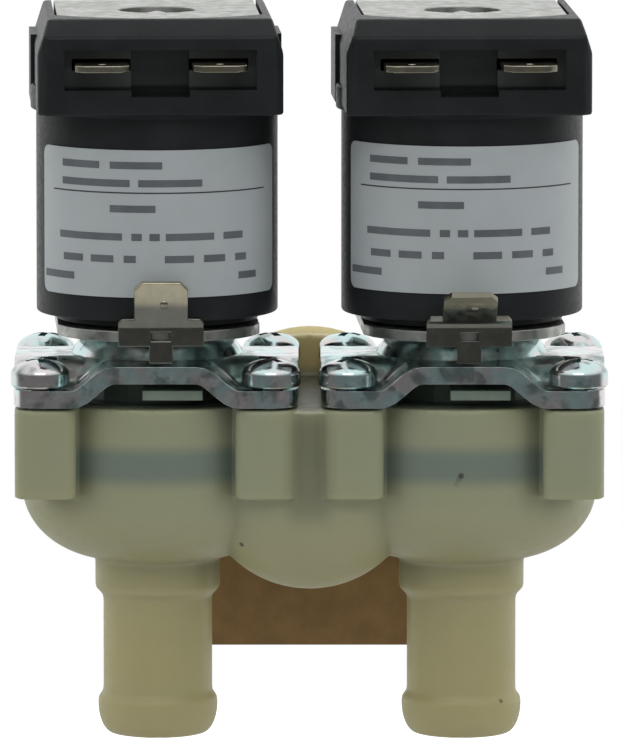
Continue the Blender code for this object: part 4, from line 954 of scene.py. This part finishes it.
class Shader:
    """A material under construction: its node tree, its Principled shader and shared coordinates."""

    def __init__(self, name, roughness, metallic=0.0):
        self.material = bpy.data.materials.new(name)
        self.material.use_nodes = True
        self.tree = self.material.node_tree
        self.surface = self.tree.nodes["Principled BSDF"]
        self.surface.inputs["Roughness"].default_value = roughness
        self.surface.inputs["Metallic"].default_value = metallic
        self.coords = self.node("ShaderNodeTexCoord").outputs["Object"]

    def node(self, kind, **values):
        node = self.tree.nodes.new(kind)
        for key, value in values.items():
            setattr(node, key, value)
        return node

    def link(self, source, target):
        self.tree.links.new(source, target)

    def noise(self, scale, detail=3.0):
        noise = self.node("ShaderNodeTexNoise")
        noise.inputs["Scale"].default_value = scale
        noise.inputs["Detail"].default_value = detail
        self.link(self.coords, noise.inputs["Vector"])
        return noise.outputs["Fac"]

    def spread(self, value, *ends):
        return ramp(self.tree, value, *ends)

    def math(self, operation, first, second):
        node = self.node("ShaderNodeMath", operation=operation)
        for slot, value in zip(node.inputs, (first, second)):
            if isinstance(value, (int, float)):
                slot.default_value = value
            else:
                self.link(value, slot)
        return node.outputs["Value"]

    def mix(self, factor, first, second):
        node = self.node("ShaderNodeMix", data_type="RGBA")
        slots = [node.inputs[0], node.inputs[6], node.inputs[7]]
        for slot, value in zip(slots, (factor, first, second)):
            if isinstance(value, (int, float)):
                slot.default_value = value
            elif isinstance(value, tuple):
                slot.default_value = (*value, 1.0)
            else:
                self.link(value, slot)
        return node.outputs[2]

    def absolute(self, value):
        return self.math("ABSOLUTE", value, 0.0)

    def product(self, *values):
        total = values[0]
        for value in values[1:]:
            total = self.math("MULTIPLY", total, value)
        return total

    def axes(self):
        """The three coordinates of the surface, in the row's frame."""
        split = self.node("ShaderNodeSeparateXYZ")
        self.link(self.coords, split.inputs["Vector"])
        return split.outputs

    def near(self, point, radius):
        """1 at a point, 0 beyond a radius."""
        node = self.node("ShaderNodeVectorMath", operation="DISTANCE")
        self.link(self.coords, node.inputs[0])
        node.inputs[1].default_value = point
        return self.spread(node.outputs["Value"], radius * 0.5, radius, 1.0, 0.0)

    def between(self, value, low, high, soft):
        """1 between two values, falling off softly outside them."""
        rise = self.spread(value, low - soft, low + soft)
        return self.math("MULTIPLY", rise, self.spread(value, high - soft, high + soft, 1.0, 0.0))

    def color(self, value):
        self.link(value, self.surface.inputs["Base Color"])

    def roughness(self, value):
        self.link(value, self.surface.inputs["Roughness"])

    def bump(self, value, distance):
        node = self.node("ShaderNodeBump")
        node.inputs["Distance"].default_value = distance
        self.link(value, node.inputs["Height"])
        self.link(node.outputs["Normal"], self.surface.inputs["Normal"])


def tinted(color, share):
    return tuple(min(1.0, channel * share) for channel in color)


def plain_material(name, color, roughness, metallic=0.0, mottle=0.12):
    """One colour, softly mottled, with a fine grain."""
    shader = Shader(name, roughness, metallic)
    cloud = shader.spread(shader.noise(300.0), 0.3, 0.7)
    shader.color(shader.mix(cloud, tinted(color, 1 - mottle), tinted(color, 1 + mottle)))
    fine = shader.noise(2500.0, 4.0)
    shader.roughness(shader.spread(fine, 0.3, 0.7, roughness * 0.85, min(1.0, roughness * 1.15)))
    shader.bump(fine, GRAIN / 2)
    return shader.material


def cream_material():
    """Translucent moulding: lighter and yellower below and darker at the top as painted shade, with painted
    shade in its inner corners and in the valley between the valves, the rubber rim showing through the
    chambers as a cool band, a painted glow of light on the rear wall, a painted highlight along the web's
    top edge and a few dark specks."""
    shader = Shader("cream_moulding", 0.42)
    x, y, z = shader.axes()
    # Painted shade: the body is darker and greener at the top, lighter and yellower towards the bottom.
    color = shader.mix(shader.spread(z, -0.004, 0.022), CREAM_LOW, CREAM_SHADED_TOP)
    cloud = shader.noise(90.0, 4.0)
    color = shader.mix(shader.spread(cloud, 0.35, 0.65, 0.0, 0.3), color, CREAM_PATCH)
    # Painted light: the rear wall between the coils is painted much lighter, and is kept out of the painted
    # corner shade below.
    rear = shader.spread(y, REAR_WALL_Y - 0.0006, REAR_WALL_Y - 0.0001)
    color = shader.mix(shader.product(rear, shader.spread(z, *REAR_WALL_LIT_Z)), color, CREAM_REAR_PAINTED_LIGHT)
    # Painted shade: the valley between the two valves is darkened.
    valley = shader.between(x, -VALLEY_HALF_WIDTH, VALLEY_HALF_WIDTH, 0.0012)
    valley = shader.product(valley, shader.between(z, *VALLEY_Z, 0.002), 0.6)
    color = shader.mix(valley, color, CREAM_VALLEY_SHADE)

    across = shader.math("SUBTRACT", shader.absolute(x), VALVE_PITCH / 2)
    along = shader.math("SUBTRACT", y, DATUM.translation.y)
    square = shader.math("ADD", shader.product(across, across), shader.product(along, along))
    radius = shader.math("SQRT", square, 0.0)
    wall = shader.spread(radius, CHAMBER_RADIUS + 0.0004, CHAMBER_RADIUS + 0.0016, 1.0, 0.0)
    band = shader.product(wall, shader.between(z, *RIM_BAND_Z, 0.0011), 0.85)
    color = shader.mix(band, color, CREAM_BAND)

    # Painted shade: the base colour is darkened where ambient occlusion finds inner corners, except on the
    # rear wall.
    corner = shader.node("ShaderNodeAmbientOcclusion", samples=6)
    corner.inputs["Distance"].default_value = 0.007
    shade_share = shader.spread(corner.outputs["AO"], 0.25, 0.95, 0.72, 1.0)
    shade_share = shader.math("MAXIMUM", shade_share, rear)
    dark = shader.node("ShaderNodeVectorMath", operation="SCALE")
    shader.link(color, dark.inputs[0])
    shader.link(shade_share, dark.inputs["Scale"])
    color = dark.outputs["Vector"]

    # Painted highlight: a light line along the front top edge of the web between the valves.
    line = shader.between(x, -LINE_HALF_WIDTH, LINE_HALF_WIDTH, 0.0004)
    line = shader.product(shader.between(z, *LINE_Z, 0.0001), line, shader.spread(y, *LINE_Y, 0.0, 0.7))
    color = shader.mix(line, color, CREAM_EDGE_HIGHLIGHT)
    for point, size, strength in SPECKS:
        color = shader.mix(shader.product(shader.near(point, size), strength), color, SPECK_COLOR)
    shader.color(color)
    fine = shader.noise(900.0, 4.0)
    shader.roughness(shader.spread(fine, 0.3, 0.7, 0.36, 0.50))
    shader.bump(fine, GRAIN)
    shader.surface.inputs["Subsurface Weight"].default_value = 0.35
    shader.surface.inputs["Subsurface Radius"].default_value = (1.0, 0.9, 0.55)
    shader.surface.inputs["Subsurface Scale"].default_value = 0.003
    return shader.material


def zinc_material(name, roughness, cool, warm, stain):
    """Plated steel: passivated in cool and warm patches, finely worn, and slightly uneven."""
    shader = Shader(name, roughness, 1.0)
    cloud = shader.noise(230.0, 3.0)
    color = shader.mix(shader.spread(cloud, 0.42, 0.60), cool, warm)
    dull = shader.noise(430.0, 4.0)
    shader.color(shader.mix(shader.spread(dull, 0.50, 0.68, 0.0, 0.75), color, stain))
    wear = shader.noise(700.0, 5.0)
    shader.roughness(shader.spread(wear, 0.3, 0.75, roughness * 0.7, roughness * 1.6))
    shader.bump(shader.noise(300.0, 2.0), UNEVENNESS)
    return shader.material


def tinned_material():
    """Tinned brass: on the earth tabs painted reflections, lighter at the tip, darker at the foot and where
    one leans far.
    """
    shader = Shader("tinned_brass", 0.2, 1.0)
    y, z = shader.axes()[1:3]
    cloud = shader.noise(500.0)
    color = shader.mix(shader.spread(cloud, 0.3, 0.7), *TINNED)
    # Painted reflections on the earth tabs: a lighter tip, and darker where a tab leans far and at its
    # foot.
    tip = shader.between(z, *TAB_TIP_Z, 0.0010)
    color = shader.mix(tip, color, TAB_TIP_HIGHLIGHT)
    leaning = shader.product(tip, shader.spread(y, *TAB_LEANING_Y, 0.75, 0.0))
    color = shader.mix(leaning, color, TAB_LEANING_SHADE)
    foot = shader.spread(z, *TAB_FOOT_Z, 0.75, 0.0)
    shader.color(shader.mix(foot, color, TAB_FOOT_SHADE))
    wear = shader.noise(900.0, 4.0)
    shader.roughness(shader.spread(wear, 0.3, 0.7, 0.15, 0.27))
    shader.bump(wear, GRAIN)
    return shader.material


def black_material():
    """Black filled nylon with a fine grain, lightened with painted light in the pockets of the terminals.
    """
    shader = Shader("black_moulding", 0.4)
    x, y, z = shader.axes()
    cloud = shader.noise(220.0)
    color = shader.mix(shader.spread(cloud, 0.3, 0.7), *BLACK)
    # Painted light: the pockets round the blades are lightened so that their shade stays near the black of
    # the face.
    axis = shader.product(shader.math("SIGN", x, 0.0), VALVE_PITCH / 2)
    middle = shader.math("ADD", axis, -HEAD_FRONT_Y * math.sin(COIL_YAW))
    across = shader.absolute(shader.math("SUBTRACT", x, middle))
    inside = shader.spread(across, POCKET_HALF_WIDTH, POCKET_HALF_WIDTH + SEAT_GAP, 1.0, 0.0)
    deep = shader.between(y, *POCKET_LIGHT_Y, 0.0002)
    inside = shader.product(inside, deep, shader.between(z, *POCKET_LIGHT_Z, 0.0002))
    shader.color(shader.mix(inside, color, POCKET_FILL_LIGHT))
    fine = shader.noise(1800.0, 4.0)
    shader.roughness(shader.spread(fine, 0.3, 0.7, 0.34, 0.46))
    shader.bump(fine, GRAIN)
    shader.surface.inputs["Specular IOR Level"].default_value = 0.15
    return shader.material


CREAM_SHADED_TOP = srgb(140, 144, 118)
CREAM_LOW = srgb(160, 153, 110)
CREAM_PATCH = srgb(147, 144, 108)
CREAM_REAR_PAINTED_LIGHT = srgb(246, 228, 168)
CREAM_BAND = srgb(102, 116, 107)
CREAM_VALLEY_SHADE = srgb(104, 106, 84)
CREAM_EDGE_HIGHLIGHT = srgb(196, 196, 172)
SPECK_COLOR = srgb(52, 46, 34)
BRIGHT_ZINC = (srgb(202, 228, 228), srgb(220, 216, 216), srgb(124, 140, 138))
GREY_ZINC = (srgb(178, 180, 174), srgb(172, 174, 168), srgb(156, 160, 154))
TINNED = (srgb(152, 148, 130), srgb(168, 164, 146))
TAB_TIP_HIGHLIGHT = srgb(184, 179, 156)
TAB_LEANING_SHADE = srgb(104, 103, 96)
TAB_FOOT_SHADE = srgb(99, 102, 100)
BLACK = (srgb(31, 34, 35), srgb(36, 39, 40))
POCKET_FILL_LIGHT = srgb(70, 74, 72)

MATERIALS = {
    "cream_moulding": cream_material(),
    "brown_moulding": plain_material("brown_moulding", srgb(128, 100, 58), 0.62),
    "white_moulding": plain_material("white_moulding", srgb(190, 190, 184), 0.45),
    "grey_green_moulding": plain_material("grey_green_moulding", srgb(104, 118, 106), 0.45),
    "black_moulding": black_material(),
    "dark_rubber": plain_material("dark_rubber", srgb(38, 40, 42), 0.7),
    "bright_zinc": zinc_material("bright_zinc", 0.16, *BRIGHT_ZINC),
    "grey_zinc": zinc_material("grey_zinc", 0.36, *GREY_ZINC),
    "stainless_steel": plain_material("stainless_steel", srgb(190, 190, 192), 0.28, 1.0, 0.05),
    "spring_steel": plain_material("spring_steel", srgb(170, 170, 174), 0.30, 1.0, 0.05),
    "tinned_brass": tinned_material(),
    "label_film": plain_material("label_film", srgb(161, 167, 169), 0.42, 0.0, 0.02),
    "label_ink": plain_material("label_ink", srgb(48, 50, 54), 0.5),
    "faint_ink": plain_material("faint_ink", srgb(88, 93, 97), 0.5),
}

# Dress the CAD nodes that keep their own shape
for entry in frame["record"]["subparts"]:
    node = frame["nodes"][entry["node"]]
    node.data.materials.clear()
    node.data.materials.append(MATERIALS[entry["material_slot"]])
    shade(node, 35)

dress_body(MATERIALS["cream_moulding"])
dress_thread(MATERIALS["cream_moulding"])
dress_edges("mounting_plate", MATERIALS["brown_moulding"], EDGE)
for side_name in ("left", "right"):
    tinned = MATERIALS["tinned_brass"]
    dress_cover(side_name, MATERIALS["bright_zinc"])
    dress_screws(side_name, MATERIALS["bright_zinc"])
    dress_coil(side_name, MATERIALS["black_moulding"])
    dress_spring(side_name, MATERIALS["spring_steel"])
    dress_edges(f"yoke_{side_name}", MATERIALS["grey_zinc"], EDGE / 3)
    dress_edges(f"earth_tab_{side_name}", tinned, EDGE / 2, [tab_dimple(side_name)])
    for place in ("left", "right"):
        dress_edges(f"blade_{place}_{side_name}", tinned, EDGE / 4)
    dress_label(side_name, *[MATERIALS[name] for name in ("label_film", "label_ink", "faint_ink")])


# Camera, floor and lights


def add_camera():
    data = bpy.data.cameras.new("camera")
    data.sensor_fit = "VERTICAL"
    data.sensor_height = SENSOR
    data.lens = FOCAL_PIXELS * SENSOR / IMAGE_SIZE[1]
    camera = bpy.data.objects.new("camera", data)
    bpy.context.scene.collection.objects.link(camera)
    away = Vector((0, -math.cos(CAMERA_PITCH), math.sin(CAMERA_PITCH)))
    camera.location = CAMERA_TARGET + away * CAMERA_DISTANCE
    camera.rotation_euler = (math.radians(90) - CAMERA_PITCH, 0, 0)
    bpy.context.scene.camera = camera


def ray_kind(tree, *kinds):
    """1 for rays of these kinds, 0 for the others."""
    path = tree.nodes.new("ShaderNodeLightPath")
    total = None
    for kind in kinds:
        output = path.outputs[kind]
        if total is None:
            total = output
            continue
        either = tree.nodes.new("ShaderNodeMath")
        either.operation = "MAXIMUM"
        tree.links.new(total, either.inputs[0])
        tree.links.new(output, either.inputs[1])
        total = either.outputs[0]
    return total


def choice(tree, switch, without, chosen):
    """One of two strengths, each a number or a socket."""
    node = tree.nodes.new("ShaderNodeMix")
    node.data_type = "FLOAT"
    tree.links.new(switch, node.inputs[0])
    for slot, value in ((node.inputs[2], without), (node.inputs[3], chosen)):
        if isinstance(value, (int, float)):
            slot.default_value = value
        else:
            tree.links.new(value, slot)
    return node.outputs[0]


def add_floor():
    bm = bmesh.new()
    corners = [(-1, -1), (1, -1), (1, 1), (-1, 1)]
    bm.faces.new([bm.verts.new((x * FLOOR_HALF, y * FLOOR_HALF, FLOOR_Z)) for x, y in corners])
    mesh = bpy.data.meshes.new("floor")
    bm.to_mesh(mesh)
    bm.free()
    floor = bpy.data.objects.new("floor", mesh)
    bpy.context.scene.collection.objects.link(floor)
    material = bpy.data.materials.new("pale_floor")
    material.use_nodes = True
    tree = material.node_tree
    surface = tree.nodes["Principled BSDF"]
    surface.inputs["Base Color"].default_value = (FLOOR_GREY, FLOOR_GREY, FLOOR_GREY, 1)
    surface.inputs["Roughness"].default_value = FLOOR_ROUGHNESS
    surface.inputs["Specular IOR Level"].default_value = 0.0
    surface.inputs["Emission Color"].default_value = (1, 1, 1, 1)
    seen = ray_kind(tree, "Is Camera Ray", "Is Transmission Ray")
    tree.links.new(choice(tree, seen, 0.0, FLOOR_GLOW), surface.inputs["Emission Strength"])
    floor.data.materials.append(material)


def add_world():
    """White to the camera. Metal shows that white behind and above the object, a dim room in front."""
    world = bpy.data.worlds.new("studio")
    bpy.context.scene.world = world
    world.use_nodes = True
    tree = world.node_tree
    background = tree.nodes["Background"]
    coords = tree.nodes.new("ShaderNodeTexCoord")
    split = tree.nodes.new("ShaderNodeSeparateXYZ")
    tree.links.new(coords.outputs["Generated"], split.inputs["Vector"])
    lit = ramp(tree, split.outputs["Y"], *ROOM_RAMP)
    behind = ramp(tree, split.outputs["Y"], *MIRRORED_BEHIND_RAMP)
    above = ramp(tree, split.outputs["Z"], *MIRRORED_ABOVE_RAMP)
    brighter = tree.nodes.new("ShaderNodeMath")
    brighter.operation = "MAXIMUM"
    tree.links.new(behind, brighter.inputs[0])
    tree.links.new(above, brighter.inputs[1])
    mirrored = brighter.outputs[0]
    indirect = choice(tree, ray_kind(tree, "Is Glossy Ray"), lit, mirrored)
    seen = ray_kind(tree, "Is Camera Ray", "Is Transmission Ray")
    tree.links.new(choice(tree, seen, indirect, 1.0), background.inputs["Strength"])
    background.inputs["Color"].default_value = (1, 1, 1, 1)


def add_light(name, place, size, power, mirrored=True):
    """A softbox aimed at the object. Where mirrored is False, metal doesn't show it."""
    data = bpy.data.lights.new(name, "AREA")
    data.shape = "RECTANGLE"
    data.size = size[0]
    data.size_y = size[1]
    data.energy = power
    light = bpy.data.objects.new(name, data)
    bpy.context.scene.collection.objects.link(light)
    light.location = place
    light.visible_glossy = mirrored
    aim = CAMERA_TARGET - Vector(place)
    light.rotation_euler = aim.to_track_quat("-Z", "Y").to_euler()


add_camera()
add_floor()
add_world()
add_light("left_softbox", (-0.85, -0.45, 0.20), (0.45, 0.9), 2.45, mirrored=False)
add_light("right_softbox", (0.85, -0.45, 0.20), (0.45, 0.9), 2.9, mirrored=False)
add_light("front_softbox", (0.0, -1.05, 0.85), (0.8, 0.4), 2.2)
bpy.context.scene.view_settings.view_transform = "Standard"
